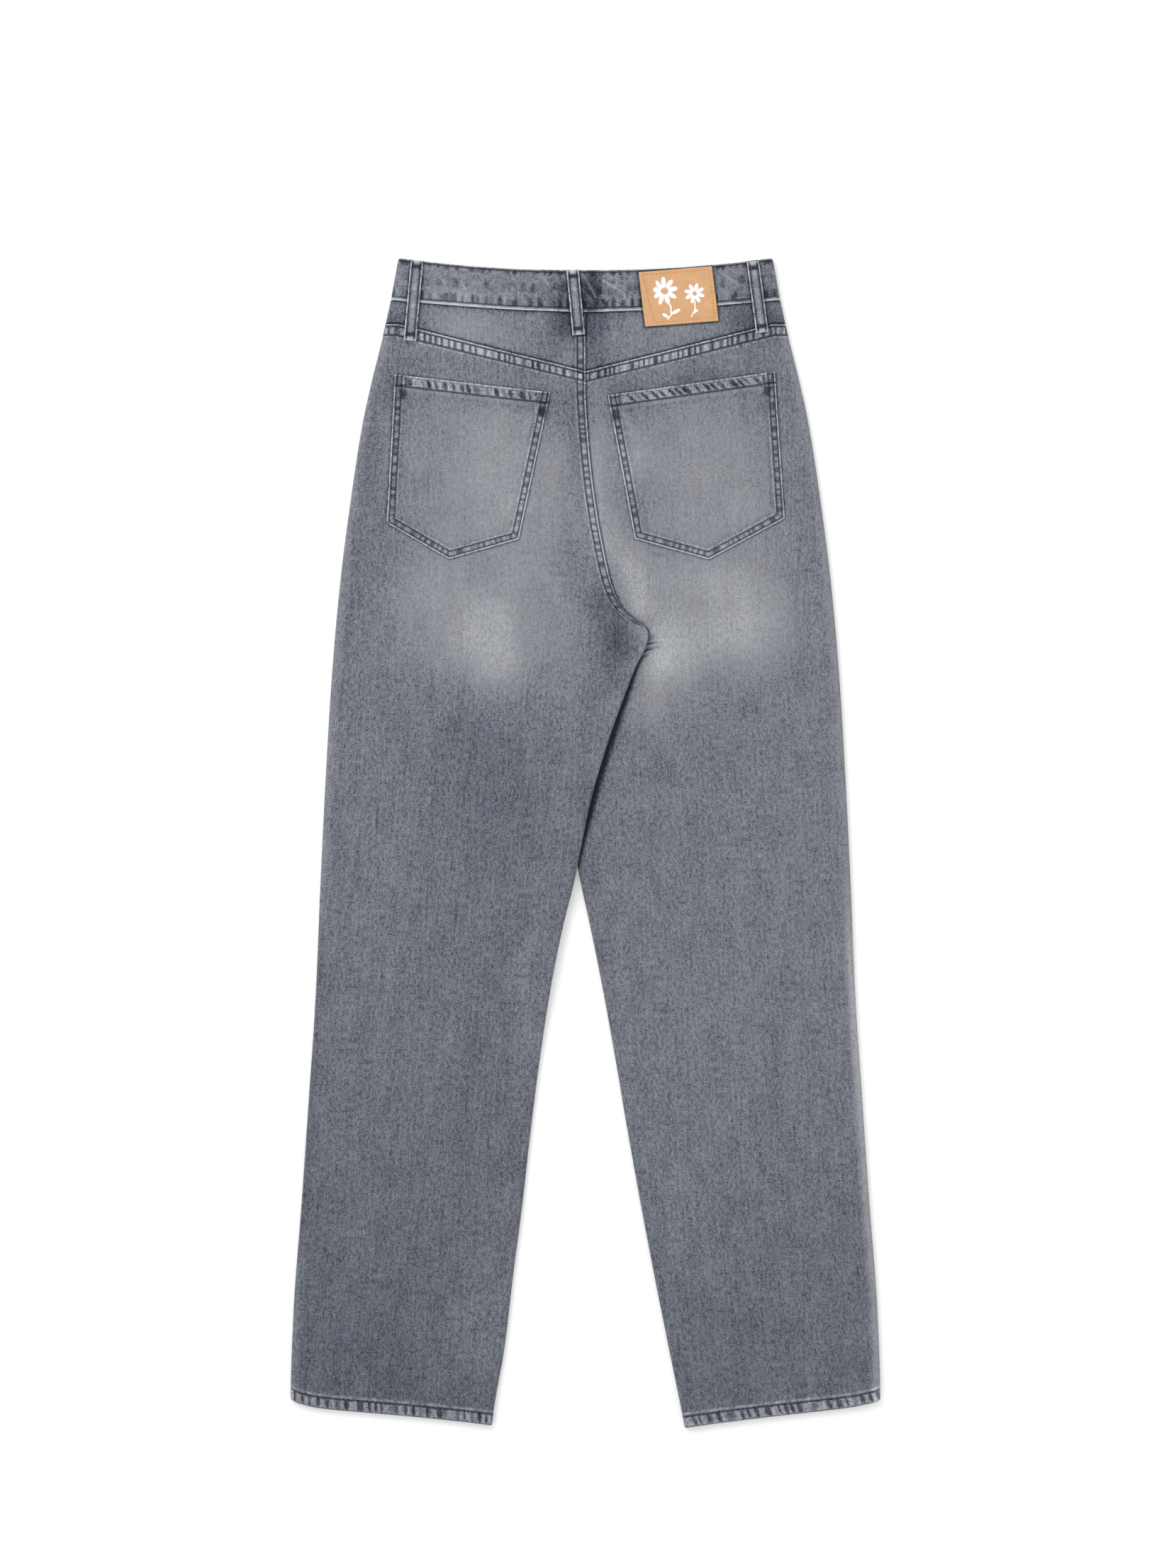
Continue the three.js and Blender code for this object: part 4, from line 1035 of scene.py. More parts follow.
def front_tables(side, rows):
    """Places and outward directions of a front piece's rows, which lie face down."""
    outer_x, outer_y, inner_x, inner_y, waist = [value[:, None] for value in rows]
    width = np.abs(outer_x - inner_x)
    towards_side = np.sign(outer_x - inner_x)
    hidden = WRAP + SEAM_GAP

    def plan(w):
        x = outer_x - towards_side * w
        line = band_bottom(x) - front_drop(x) - SEAM_GAP
        level = mix(outer_y, inner_y, w / width) + hem_sag(side, inner_y, w + hidden, width + hidden)
        return x, mix(level, line, waist)

    parts = []

    def put(w, z, out_x, out_z, distance):
        x, y = plan(w)
        parts.append([np.broadcast_to(value, x.shape) for value in (x, y, z, out_x, out_z, distance)])

    start, _, turn = inner_turn(side, inner_y, width)
    for t in np.linspace(0, 1, 58):
        w = start * t
        put(w, front_under(side, *plan(w)), 0, -1, width - w)
    level = front_under(side, *plan(start))
    for w, lift, bend, rest in turn:
        put(w, level + lift, -towards_side * np.sin(bend), -np.cos(bend), rest)
    return joined(parts)


def mouth_rows(side):
    """Outer edge of a front along its pocket's mouth, and how far the waist seam draws each place to it."""
    corner = float(follow(SIDE_EDGE, MOUTH_FOOT_Y)) - WRAP - SEAM_GAP
    top = float(band_bottom(MOUTH_TOP_X) - front_drop(MOUTH_TOP_X)) - SEAM_GAP
    part = np.linspace(0, 1, MOUTH_ROWS)
    x = side * (corner - SCOOP_RADIUS * np.cos(part * math.pi / 2))
    return x, top - (top - MOUTH_FOOT_Y) * np.sin(part * math.pi / 2), (1 - part) ** 2


def mouth_line(side):
    """The edge of a front pocket's mouth, from the waistband round to the side."""
    x, y, waist = mouth_rows(side)
    line = band_bottom(x) - front_drop(x) - SEAM_GAP
    return np.stack([x, mix(y, line, waist)], axis=1)


def make_front(side):
    settings = bpy.context.scene.jeans_cloth
    hem, tilt, _ = HEM[side]
    table = LEFT_FRONT_EDGE if side < 0 else RIGHT_FRONT_EDGE

    def inside(y):
        edge = inner_edge(side, y) + side * SEAM_GAP / 2
        return np.where(y > FRONT_JOIN[side], follow(table, y), edge)

    def seam(y):
        return follow(SIDE_EDGE, y) - WRAP - SEAM_GAP

    mouth_x, mouth_y, mouth_waist = mouth_rows(side)
    scoop_y = np.linspace(BAND_BOTTOM - FRONT_DROP - SEAM_GAP, MOUTH_LAST_ROW, MOUTH_ROWS)
    scoop = np.array([mouth_x, mouth_y, inside(scoop_y), scoop_y, mouth_waist])
    leg_y = np.concatenate([
        np.linspace(MOUTH_LAST_ROW - 4, 160, 66),
        np.linspace(156, hem + 16, 84),
        np.linspace(hem + 14, hem + 0.4, 10),
        [hem, hem - 0.1, hem + 0.1, hem + 1.2, hem + HEM_DEPTH],
    ])
    outer_y = leg_y + 18 * smooth((leg_y - 290) / 76) + tilt * smooth((-leg_y - 300) / 216)
    leg = np.array([side * seam(outer_y), outer_y, inside(leg_y), leg_y, 0 * leg_y])
    rows = np.concatenate([scoop, leg], axis=1)
    points, out, from_inner = front_tables(side, rows)
    x, y = points[:, :, 0], points[:, :, 1]
    folded = np.zeros(rows.shape[1])
    folded[-5:] = [0.12, 0.45, 0.8, 1, 1]
    points = points - out * (HEM_INSET * folded)[:, None, None]
    from_hem = rows[3][:, None] - hem + 0 * x
    mouth = np.where(y > MOUTH_SEAM_LOW, distance_to_path(x, y, mouth_line(side))[0], FAR)
    tone = FRONT_TONE + hem_fall(y) + tone_spots(FRONT_WASH, np.abs(x), y)
    tone = tone + 0.2 * near(from_hem - HEM_DEPTH, 0.3, 1.3) - 0.2 * near(from_hem - HEM_ROW, 0.3, 1.0)
    name = SIDE_NAME[side]
    fly = from_inner + FAR * (y < FLY_EDGE_LOW)
    past_hem = PAST_HEM * (folded[:, None] > 0)
    values = {"tone": tone, "mouth": mouth, "fly": fly, "hem": from_hem + past_hem}
    uv = flat_places(points, 30, PATTERN_SHIFT["front"] * side, GRAIN_LEAN * side)
    piece = cloth(f"cloth_front_{name}", points, uv, values, settings.wall, side < 0)
    seams = [("mouth", MOUTH_ROWS_OF_STITCHES)] + ([("fly", (FLY_ROW, ALONE))] if side < 0 else [])
    piece.data.materials.append(denim(f"denim_front_{name}", seams, [HEM_GATHERS], dark=0.26, light=0.26))
    finish_piece(piece, [f"front_{name}"])
    return piece


def make_facing(side):
    """Denim behind the scooped front pocket mouth."""
    settings = bpy.context.scene.jeans_cloth
    name = SIDE_NAME[side]
    u, v = np.meshgrid(np.linspace(0, 1, 34), np.linspace(0, 1, 40))
    top_x = mix(follow(SIDE_EDGE, FACING_TOP) - FACING_FROM_SIDE, FACING_X, u)
    y = mix(band_bottom(top_x) - front_drop(top_x) - SEAM_GAP, FACING_BOTTOM, v)
    x = mix(follow(SIDE_EDGE, y) - FACING_FROM_SIDE, FACING_X, u)
    z = np.full_like(x, FACING_HEIGHT) + 0.1 * near(x - FACING_X, 4, 12) + waist_lift(x, y) * 0.9
    points = np.stack([side * x, y, z], axis=2)
    values = {"tone": FACING_TONE + 0.05 * wobble(x / 14, 4) * wobble(y / 17, 5)}
    piece = cloth(f"cloth_facing_{name}", points, flat_places(points), values, settings.wall, side < 0)
    piece.data.materials.append(denim(f"denim_facing_{name}"))
    return finish_piece(piece, [f"front_pocket_facing_{name}"])


# Corners of the back pockets: upper left, upper right, lower right, tip, lower left
POCKETS = {
    -1: [(-169.3, 416.4), (-31.3, 400.4), (-59.3, 270.1), (-121.3, 252.4), (-176.6, 284.6)],
    1: [(19.7, 397.7), (168.2, 419.0), (177.0, 288.5), (109.7, 252.1), (43.8, 270.5)],
}
POCKET_OUTLINE = {side: [corners[i] for i in (0, 4, 3, 2, 1, 0)] for side, corners in POCKETS.items()}
POCKET_WIDTH = 142  # between the middles of its two sides
POCKET_LENGTH = 145
POCKET_HEM_WIDTH = 10.8
POCKET_HEM_RISE = 0.7


def close_and_open_steps(count, total, fine_start, fine_end, pitch):
    """Shares from 0 to 1 with steps of one pitch at both ends and wider ones between."""
    first = np.arange(0, fine_start, pitch)
    last = total - np.arange(0, fine_end, pitch)[::-1]
    return np.concatenate([first, np.linspace(fine_start, total - fine_end, count), last]) / total


def distance_to_path(x, y, path):
    """Distance to a path of straight stretches, and how far along the path its nearest point is."""
    best = np.full(x.shape, 1e9)
    along = np.zeros(x.shape)
    gone = 0.0
    for (ax, ay), (bx, by) in zip(path, path[1:]):
        dx, dy = bx - ax, by - ay
        size = math.hypot(dx, dy)
        t = np.clip(((x - ax) * dx + (y - ay) * dy) / size**2, 0, 1)
        away = np.hypot(x - ax - t * dx, y - ay - t * dy)
        along = np.where(away < best, gone + t * size, along)
        best = np.minimum(best, away)
        gone += size
    return best, along


def pocket_place(side, u, v):
    top_left, top_right, low_right, tip, low_left = [np.array(corner) for corner in POCKETS[side]]
    u, v = u[..., None], v[..., None]
    lower = np.where(u < 0.5, mix(low_left, tip, u * 2), mix(tip, low_right, u * 2 - 1))
    return mix(mix(top_left, top_right, u), lower, v)


def make_pocket(side):
    settings = bpy.context.scene.jeans_cloth
    name = SIDE_NAME[side]
    across = close_and_open_steps(56, POCKET_WIDTH, 11, 11, 1.2)
    down = close_and_open_steps(58, POCKET_LENGTH, 17, 11, 1.15)
    u, v = np.meshgrid(across, down)
    place = pocket_place(side, u, v)
    x, y = place[..., 0], place[..., 1]
    top_left, top_right, low_right, tip, low_left = POCKETS[side]
    border, along = distance_to_path(x, y, [top_left, low_left, tip, low_right, top_right])
    from_top, top_along = distance_to_path(x, y, [top_left, top_right])
    seat = soften(Surface([f"cloth_back_{name}"]).heights(x, y, 2.5), 6)
    hemmed = 1 - smooth((from_top - POCKET_HEM_WIDTH) / 1.5)
    relief = POCKET_HEM_RISE * hemmed + 0.25 * seam_section(border, POCKET_ROWS)
    relief = relief - 0.35 * (1 - smooth(border / 0.9)) - 0.3 * (1 - smooth(from_top / 0.9))
    relief = relief - 0.3 * bell(from_top - POCKET_TOP_ROW, 0.7)
    bag = smooth((border - 8) / 30) * smooth((from_top - 14) / 30)
    relief = relief + 0.35 * bag
    points = np.stack([x, y, seat + SEAM_GAP + POCKET_RISE + relief], axis=2)
    tone = leg_tone(x, y)
    frayed = 0.7 + 0.3 * wobble(top_along / 3.3, 8)
    tone = tone + 0.16 * frayed * near(from_top - POCKET_TOP_ROW - 2.3, 0.5, 1.5)
    dashes = np.clip(wobble(top_along / 2.6, 12) + 0.1, 0, 1)
    tone = tone - 0.16 * dashes * near(from_top - 15.5, 0.5, 1.4) * smooth((border - 9) / 6)
    tone = tone - 0.06 * near(border - 9.2, 0.6, 2.6) * (1 - hemmed)
    for corner, inward in ((top_left, 1), (top_right, -1)):
        right = (x - corner[0]) * inward - 0.12 * (corner[1] - y)
        down = corner[1] - y + inward * 0.1 * (x - corner[0])
        ring = np.maximum(np.abs(right - 5.6) / 3.6, np.abs(down - 6.2) / 4.0)
        tone = tone - 0.30 * near(ring - 1, 0.08, 0.24) + 0.08 * (ring < 0.8)
        tone = tone - 0.26 * near(right - 4.6, 2.3, 2.2) * near(down - 17.5, 3.0, 2.6)
        tone = tone + corner_creases(right, down, inward * side)
    values = {
        "tone": tone, "border": border, "pocket_top": from_top, "border_along": along, "top_along": top_along,
        "border_gathers": border + 30 * (1 - smooth((from_top - 11.5) / 1.5)),
        "top_gathers": from_top + 30 * (1 - smooth((border - 9.5) / 1.5)),
    }
    uv = flat_places(points, 60, PATTERN_SHIFT["pocket"] * side)
    piece = cloth(f"cloth_pocket_{name}", points, uv, values, settings.pocket_wall, False)
    seams = [("border", POCKET_ROWS), ("pocket_top", (POCKET_TOP_ROW, ALONE))]
    pitch = POCKET_TOP_GATHERS.pitch + 0.1 * side
    top_gathers = POCKET_TOP_GATHERS._replace(lean=POCKET_TOP_LEAN[side], pitch=pitch)
    piece.data.materials.append(denim(f"denim_pocket_{name}", seams, [POCKET_SIDE_GATHERS, top_gathers]))
    finish_piece(piece, [f"back_pocket_{name}"])
    return piece


def corner_creases(right, down, towards_side):
    """Pale creases that fan down from a pocket's corner, stronger at the corners nearest the seat seam."""
    total = 0
    for angle, size in ((62, 24), (74, 30), (48, 16)):
        turn = math.radians(angle)
        along = (right - 9) * math.cos(turn) + (down - 12) * math.sin(turn)
        across = (down - 12) * math.cos(turn) - (right - 9) * math.sin(turn)
        total = total + near(along - size / 2, size / 4, size / 4) * bell(across, 0.9)
    return (0.12 if towards_side > 0 else 0.06) * total


def make_waistband():
    """One strip, from its inner end at the front, round the wearer's right, across the back and round the
    left to its tip, which lies over the inner end."""
    settings = bpy.context.scene.jeans_cloth
    v = np.concatenate([[0, 0.012, 0.03], np.linspace(0.055, 0.945, 28), [0.97, 0.988, 1]])[:, None]
    edge = follow(SIDE_EDGE, mix(band_top(BAND_TOP_HALF), band_bottom(BAND_BOTTOM_HALF), v))
    columns = []

    def back_y(x):
        return mix(band_top(x), band_bottom(x), v)

    def put(x, y, z, out_x, out_z, back):
        columns.append([np.broadcast_to(value, v.shape) for value in (x, y, z, out_x, out_z, back)])

    def front_point(x, lift):
        y = back_y(x) - front_drop(x)
        put(x, y, waist_lift(x, y) + lift, 0, -1, 0)

    def fold(side):
        radius = (seat_top(side, side * (edge - 3), back_y(edge - 3)) + BAND_OVER_YOKE) / 2
        angles = np.linspace(-math.pi / 2, math.pi / 2, 11)
        for angle in angles if side > 0 else angles[::-1]:
            across, up = math.cos(angle), math.sin(angle)
            x = side * (edge - radius + radius * across)
            put(x, back_y(edge - radius), radius + radius * up, side * across, up, smooth(up))

    for x in np.linspace(BAND_TAIL, BAND_TIP + 26, 30):
        front_point(x + 0 * edge, 2.3 * near(x, BAND_TIP + 1, 21))
    for part in np.linspace(0.26, 1, 60)[:-2]:
        front_point(part * edge, 0)
    fold(1)
    for part in np.linspace(0.975, -0.975, 250):
        x = part * edge
        z = np.where(x < 0, seat_top(-1, x, back_y(x)), seat_top(1, x, back_y(x))) + BAND_OVER_YOKE
        put(x, back_y(x), z, 0, 1, 1)
    fold(-1)
    for part in np.linspace(1, 0.26, 60)[2:]:
        front_point(-part * edge, 0)
    for x in np.linspace(-40, BAND_TIP, 30):
        front_point(x + 0 * edge, 0)
    points, out, back = joined(columns)
    x, y = points[:, :, 0], points[:, :, 1]
    middle_column = int(np.argmin(np.abs(x[0]) + FAR * (back[0] < 1)))
    uv = flat_places(points, middle_column)
    along = uv[:, :, 0]
    from_top = BAND_HEIGHT * v + 0 * x
    from_low = BAND_HEIGHT * (1 - v) + 0 * x
    lumps = wobble(along / 8.3, 9) * wobble(from_top / 3.4, 11)
    relief = -0.5 * np.exp(-from_top / 0.5) - 0.35 * np.exp(-from_low / 0.4)
    relief = relief - 0.25 * bell(from_top - BAND_TOP_ROW, 0.7)
    relief = relief - 0.3 * bell(from_low - BAND_LOW_ROW, 0.8)
    relief = relief + 0.15 * lumps
    pressed = band_creases(x, y) * back
    relief = relief + 0.35 * pressed
    points = points + out * relief[:, :, None]
    dashes = np.clip(wobble(along / 5.2, 14) + 0.2, 0, 1)
    middle = near(from_top - 17 - 2 * wobble(along / 30, 15), 1.5, 4.5) * dashes
    tone = BAND_TONE + tone_spots(BAND_WASH, x, y) * back + 0.08 * lumps - 0.32 * middle
    tone = tone + 0.05 * wobble(along / 17, 2) * wobble(from_top / 5, 6)
    edge_worn = np.clip(0.75 + 0.4 * wobble(along / 6, 33), 0.2, 1)
    tone = tone + 0.3 * edge_worn * near(from_low, 1.7, 0.9) + 0.5 * pressed
    shade = np.where(back > 0.5, shade_at_waist(x, y, np.ones_like(x)), 1)
    values = {"tone": tone, "shade": shade, "low_edge": from_low, "top_edge": from_top + BAND_EDGE_WORN}
    piece = cloth("cloth_waistband", points, uv, values, settings.band_wall, True)
    seams = [("low_edge", (BAND_LOW_ROW, ALONE)), ("top_edge", (BAND_TOP_ROW + BAND_EDGE_WORN, ALONE))]
    gathers = [BAND_LOW_GATHERS, BAND_TOP_GATHERS]
    piece.data.materials.append(denim("denim_waistband", seams, gathers, mottle=0.45, shaded=True))
    finish_piece(piece, ["waistband"])
    return piece


# Pressed-in diagonal creases of the waistband at the back: the points that they pass, and a strength
BAND_CREASES = [
    ([(-2.5, 505), (3, 496), (7, 488), (9, 485)], 1.0), ([(-5, 493), (1, 487), (6, 480)], 0.7),
    ([(8, 490), (16, 485)], 0.5), ([(16, 499), (27, 493), (34, 488), (38, 478)], 0.75),
    ([(27, 497), (38, 490), (45, 486)], 0.45), ([(-38, 502), (-32, 495), (-28, 490), (-24, 478)], 0.6),
    ([(-26, 501), (-22, 496), (-20, 491)], 0.4), ([(-22, 489), (-17, 484)], 0.35),
    ([(-116, 505), (-106, 492)], 0.3), ([(-84, 497), (-72, 492), (-62, 484)], 0.25),
    ([(122, 506), (136, 496)], 0.35), ([(120, 493), (132, 482)], 0.3),
    ([(155, 508), (162, 500), (168, 497)], 0.35), ([(-136, 507), (-124, 498)], 0.3),
    ([(-150, 494), (-132, 486)], 0.25), ([(-60, 504), (-48, 494)], 0.25),
]


def band_creases(x, y):
    total = 0
    for path, strength in BAND_CREASES:
        away, along = distance_to_path(x, y, path)
        worn = np.clip(0.8 + 0.3 * wobble(along / 2, strength), 0, 1)
        total = total + strength * bell(away, 0.95) * worn
    return np.clip(total, 0, 1)


# Belt loops at the back: their upper and lower ends
LOOPS = {
    "left": ((-149.5, 517.5), (-156.0, 446.5)),
    "centre": ((-11.5, 508.5), (-6.0, 451.0)),
    "right": ((148.5, 516.5), (157.0, 453.5)),
}


def loop_outline(top, low):
    """Corners of a belt loop, from its two ends."""
    size = math.hypot(low[0] - top[0], low[1] - top[1])
    half_x = -(low[1] - top[1]) / size * LOOP_WIDTH / 2
    half_y = (low[0] - top[0]) / size * LOOP_WIDTH / 2
    ends = ((top, 1), (low, 1), (low, -1), (top, -1), (top, 1))
    return [(x + turn * half_x, y + turn * half_y) for (x, y), turn in ends]


LOOP_OUTLINES = {name: loop_outline(*ends) for name, ends in LOOPS.items()}


def loop_piece(name, x, y, z, length_mm, reverse):
    """A folded strip with worn edges, a darker middle and a bar tack at each end."""
    settings = bpy.context.scene.jeans_cloth
    rows, columns = x.shape
    across = np.linspace(0, LOOP_WIDTH, columns)[None, :] + 0 * x
    from_edge = np.minimum(across, LOOP_WIDTH - across)
    down = np.linspace(0, length_mm, rows)[:, None] + 0 * x
    from_end = np.minimum(down, length_mm - down)
    sign = -1 if reverse else 1
    relief = 0.15 * near(across - LOOP_WIDTH / 2, 1, 3)
    relief = relief - 0.45 * np.exp(-from_edge / 0.35) - 0.3 * np.exp(-from_end / 0.4)
    relief = relief - 0.25 * bell(from_edge - LOOP_ROW, 0.5) + 0.3 * near(from_end - 2.0, 0.8, 1.2)
    relief = relief + 0.05 * wobble(from_end / 2.3, x[0, 0])
    points = np.stack([x, y, z + sign * relief], axis=2)
    middle = near(from_edge - 5.5, 0.8, 2.0)
    tone = LOOP_TONE + 0.2 * middle + 0.10 * wobble(down / 3.1, x[0, 0]) * middle
    tone = tone + 0.07 * wobble(down / 9, x[0, 0] + 2)
    folded = (1 - smooth((from_end - 2.6) / 1.2)) * smooth((from_end - 0.2) / 0.6)
    tone = tone + 0.18 * folded * smooth((from_edge - 0.8) / 0.8)
    tone = tone - 0.42 * near(from_end - 5.6, 1.3, 1.2) * smooth((from_edge - 0.9) / 0.7)
    values = {"tone": tone, "loop_edge": from_edge, "loop_end": from_end}
    piece = cloth(f"cloth_belt_loop_{name}", points, flat_places(points), values, settings.loop_wall, reverse)
    seams = [("loop_edge", (LOOP_ROW, ALONE)), ("loop_end", (ALONE, ALONE))]
    piece.data.materials.append(denim(f"denim_loop_{name}", seams, dark=0.32, light=0.42, mottle=0.3))
    return finish_piece(piece, [f"belt_loop_{name}"])


def make_back_loop(name, surface):
    (top_x, top_y), (low_x, low_y) = LOOPS[name]
    size = math.hypot(low_x - top_x, low_y - top_y)
    along = ((low_x - top_x) / size, (low_y - top_y) / size)
    u, v = np.meshgrid(np.linspace(-0.5, 0.5, 17), np.linspace(0, 1, 76))
    x = mix(top_x, low_x, v) - along[1] * u * LOOP_WIDTH
    y = mix(top_y, low_y, v) + along[0] * u * LOOP_WIDTH
    under = soften(surface.heights(x, y, 4.0), 60)
    slack = 1.0 * np.sin(math.pi * np.clip(v, 0.001, 0.999)) ** 0.6
    return loop_piece(f"back_{name}", x, y, under + SEAM_GAP + slack + LOOP_RISE, size, False)


def make_front_loop(side):
    top = float(band_top(FRONT_LOOP_X) - front_drop(FRONT_LOOP_X)) - 0.5
    low = float(band_bottom(FRONT_LOOP_X) - front_drop(FRONT_LOOP_X)) - 14
    u, v = np.meshgrid(np.linspace(-0.5, 0.5, 13), np.linspace(0, 1, 50))
    x = side * FRONT_LOOP_X + u * LOOP_WIDTH
    y = mix(top, low, v)
    return loop_piece(f"front_{SIDE_NAME[side]}", x, y, np.full_like(x, 0.35), top - low, True)


# Corners of the patch, from the upper left one clockwise
PATCH = [(46.9, 507.0), (112.3, 512.6), (118.4, 463.9), (52.9, 458.6)]
PATCH_WIDTH = 65.7
PATCH_HEIGHT = 49
PRINT_RISE = 0.34
PATCH_MARGIN = 3.0  # stitches lie this far inside the patch's edge


def patch_place(u, v):
    top_left, top_right, low_right, low_left = [np.array(corner) for corner in PATCH]
    u, v = np.asarray(u)[..., None], np.asarray(v)[..., None]
    return mix(mix(top_left, top_right, u), mix(low_left, low_right, u), v)


def make_patch(surface):
    settings = bpy.context.scene.jeans_cloth
    across = close_and_open_steps(36, PATCH_WIDTH, 5, 5, 0.8)
    down = close_and_open_steps(26, PATCH_HEIGHT, 5, 5, 0.8)
    u, v = np.meshgrid(across, down)
    place = patch_place(u, v)
    x, y = place[..., 0], place[..., 1]
    rim, _ = distance_to_path(x, y, [*PATCH, PATCH[0]])
    under = soften(surface.heights(x, y, 4.0), 80)
    relief = -0.35 * (1 - smooth(rim / 0.8)) - 0.22 * bell(rim - PATCH_MARGIN, 0.7)
    relief = relief + 0.12 * smooth((rim - 4) / 8) + 0.05 * wobble(x / 9, 3)
    points = np.stack([x, y, under + SEAM_GAP + PATCH_RISE + relief], axis=2)
    piece = cloth("patch", points, flat_places(points), {"rim": rim}, settings.leather_wall, False)
    piece.data.materials.append(leather("patch_leather"))
    return finish_piece(piece, ["leather_patch"])


# White flowers printed on the patch: centre as shares of the patch, petal length and width, petals, turn.
# Leaves: centre, length, width, turn. Stems: the points that they pass.
FLOWERS = [(0.31, 0.38, 10.4, 4.4, 9, 12), (0.72, 0.47, 7.6, 3.5, 8, 30)]
LEAVES = [(0.44, 0.77, 9.0, 3.4, 28), (0.285, 0.815, 8.0, 3.0, 142), (0.705, 0.79, 6.4, 2.6, 40)]
STEMS = [[(0.34, 0.56), (0.38, 0.68), (0.37, 0.82), (0.32, 0.90)], [(0.71, 0.64), (0.70, 0.76), (0.64, 0.88)]]


def blob(centre, size, turn):
    """A flat rounded blob of print."""
    deselect()
    bpy.ops.mesh.primitive_uv_sphere_add(segments=16, ring_count=8, radius=0.5)
    made = bpy.context.object
    made.scale = [part * MM for part in size]
    made.rotation_euler = (0, 0, math.radians(turn))
    made.location = [part * MM for part in centre]
    bpy.ops.object.transform_apply(location=True, rotation=True, scale=True)
    return made


def make_print():
    """Printed flowers, lying on the patch."""
    surface = Surface(["patch"])
    parts = []

    def lay(u, v, dx, dy, size, turn):
        x, y = patch_place(u, v)
        x, y = float(x) + dx, float(y) + dy
        parts.append(blob((x, y, surface.height(x, y)), (*size, PRINT_RISE), turn))

    for u, v, petal, broad, count, turn in FLOWERS:
        for i in range(count):
            angle = math.radians(turn + 360 * i / count)
            out = petal * 0.72
            lay(u, v, out * math.cos(angle), out * math.sin(angle), (petal, broad), math.degrees(angle))
    for u, v, size, broad, turn in LEAVES:
        lay(u, v, 0, 0, (size, broad), turn)
    for stem in STEMS:
        for (u0, v0), (u1, v1) in zip(stem, stem[1:]):
            across, down = patch_place(u1, v1) - patch_place(u0, v0)
            turn = math.degrees(math.atan2(down, across))
            for t in np.linspace(0, 1, 7)[:-1]:
                lay(mix(u0, u1, t), mix(v0, v1, t), 0, 0, (3.4, 1.3), turn)
    activate(parts[0])
    for part in parts[1:]:
        part.select_set(True)
    bpy.ops.object.join()
    piece = bpy.context.object
    piece.name = piece.data.name = "patch_print"
    piece.data.materials.append(print_ink("patch_print_white"))
    return finish_piece(piece, [])


# Sewing


def stitch_shape():
    """One stitch along X, of unit length, width and height, as points and faces."""
    deselect()
    bpy.ops.mesh.primitive_uv_sphere_add(segments=6, ring_count=4, radius=0.5, rotation=(0, math.pi / 2, 0))
    bpy.ops.object.transform_apply(rotation=True)
    made = bpy.context.object
    points = np.array([vertex.co for vertex in made.data.vertices])
    points[:, 0] = np.sign(points[:, 0]) * np.abs(points[:, 0] * 2) ** 0.75 / 2
    faces = [list(polygon.vertices) for polygon in made.data.polygons]
    bpy.data.objects.remove(made)
    return points, faces


STITCH_LIFT = 0.08  # how far the middle of a stitch stands over the cloth
STITCH_SINK = 0.22  # how far it lies within the cloth of the underside, which rests flat


def walk(path, pitch):
    """Places and directions one pitch apart along a path of points."""
    path = np.array(path, float)
    steps = np.linalg.norm(np.diff(path, axis=0), axis=1)
    gone = np.concatenate([[0], np.cumsum(steps)])
    count = max(1, int(gone[-1] / pitch))
    at = (np.arange(count) + 0.5) * gone[-1] / count
    places = np.stack([np.interp(at, gone, path[:, i]) for i in range(2)], axis=1)
    ahead = np.stack([np.interp(at + 0.4, gone, path[:, i]) for i in range(2)], axis=1)
    behind = np.stack([np.interp(at - 0.4, gone, path[:, i]) for i in range(2)], axis=1)
    direction = ahead - behind
    return places, direction / np.linalg.norm(direction, axis=1)[:, None]


def sew(name, surface, runs, shade, thick=1.0):
    """Joins a row of stitches along each run into one mesh.
    A run is a path, or a path with its own pitch and length of stitch."""
    sewing = bpy.context.scene.jeans_sewing
    base, faces = stitch_shape()
    size = np.array([sewing.stitch, sewing.thread * thick, sewing.thread * 0.8]) / MM
    points, polygons = [], []
    for run in runs:
        path, pitch, stitch = run if isinstance(run, tuple) else (run, sewing.pitch / MM, size[0])
        places, directions = walk(path, pitch)
        for (x, y), (dx, dy) in zip(places, directions):
            height = surface.height(x, y)
            if height is None:
                continue
            front = surface.height(x + dx * 0.8, y + dy * 0.8)
            behind = surface.height(x - dx * 0.8, y - dy * 0.8)
            slope = 0 if front is None or behind is None else np.clip((front - behind) / 1.6, -0.6, 0.6)
            ahead, aside, up = (base * (stitch, size[1], size[2])).T
            lift = ahead * slope + up + height + (STITCH_LIFT if surface.sign > 0 else STITCH_SINK)
            offset = len(points) * len(base)
            points.append(np.stack([x + ahead * dx - aside * dy, y + ahead * dy + aside * dx, lift], axis=1))
            polygons.extend([[index + offset for index in face] for face in faces])
    mesh = bpy.data.meshes.new(name)
    mesh.from_pydata((np.concatenate(points) * MM).tolist(), [], polygons)
    piece = bpy.data.objects.new(name, mesh)
    bpy.context.scene.collection.objects.link(piece)
    piece.data.materials.append(thread(f"thread_{name}", shade))
    return finish_piece(piece, [], 80)


def row_line(side, low, rise, trim):
    """The line of one row of a back piece, by its inner height and how much higher it is at the side."""
    outer = float(follow(SIDE_EDGE, low + rise))
    width = outer - side * float(inner_edge(side, low))
    w = np.linspace(trim, width - trim, 80)
    level = mix(low + rise, low, np.maximum(0, w - WRAP) / (width - WRAP))
    return np.stack([side * (outer - w), level + hem_sag(side, low, w, width)], axis=1)


def yoke_line(side, distance):
    low = YOKE_POINT - SEAM_GAP / 2 - distance
    return row_line(side, low, YOKE_SIDE_RISE * float(smooth((low - 300) / (YOKE_POINT - 300))), 1.0)


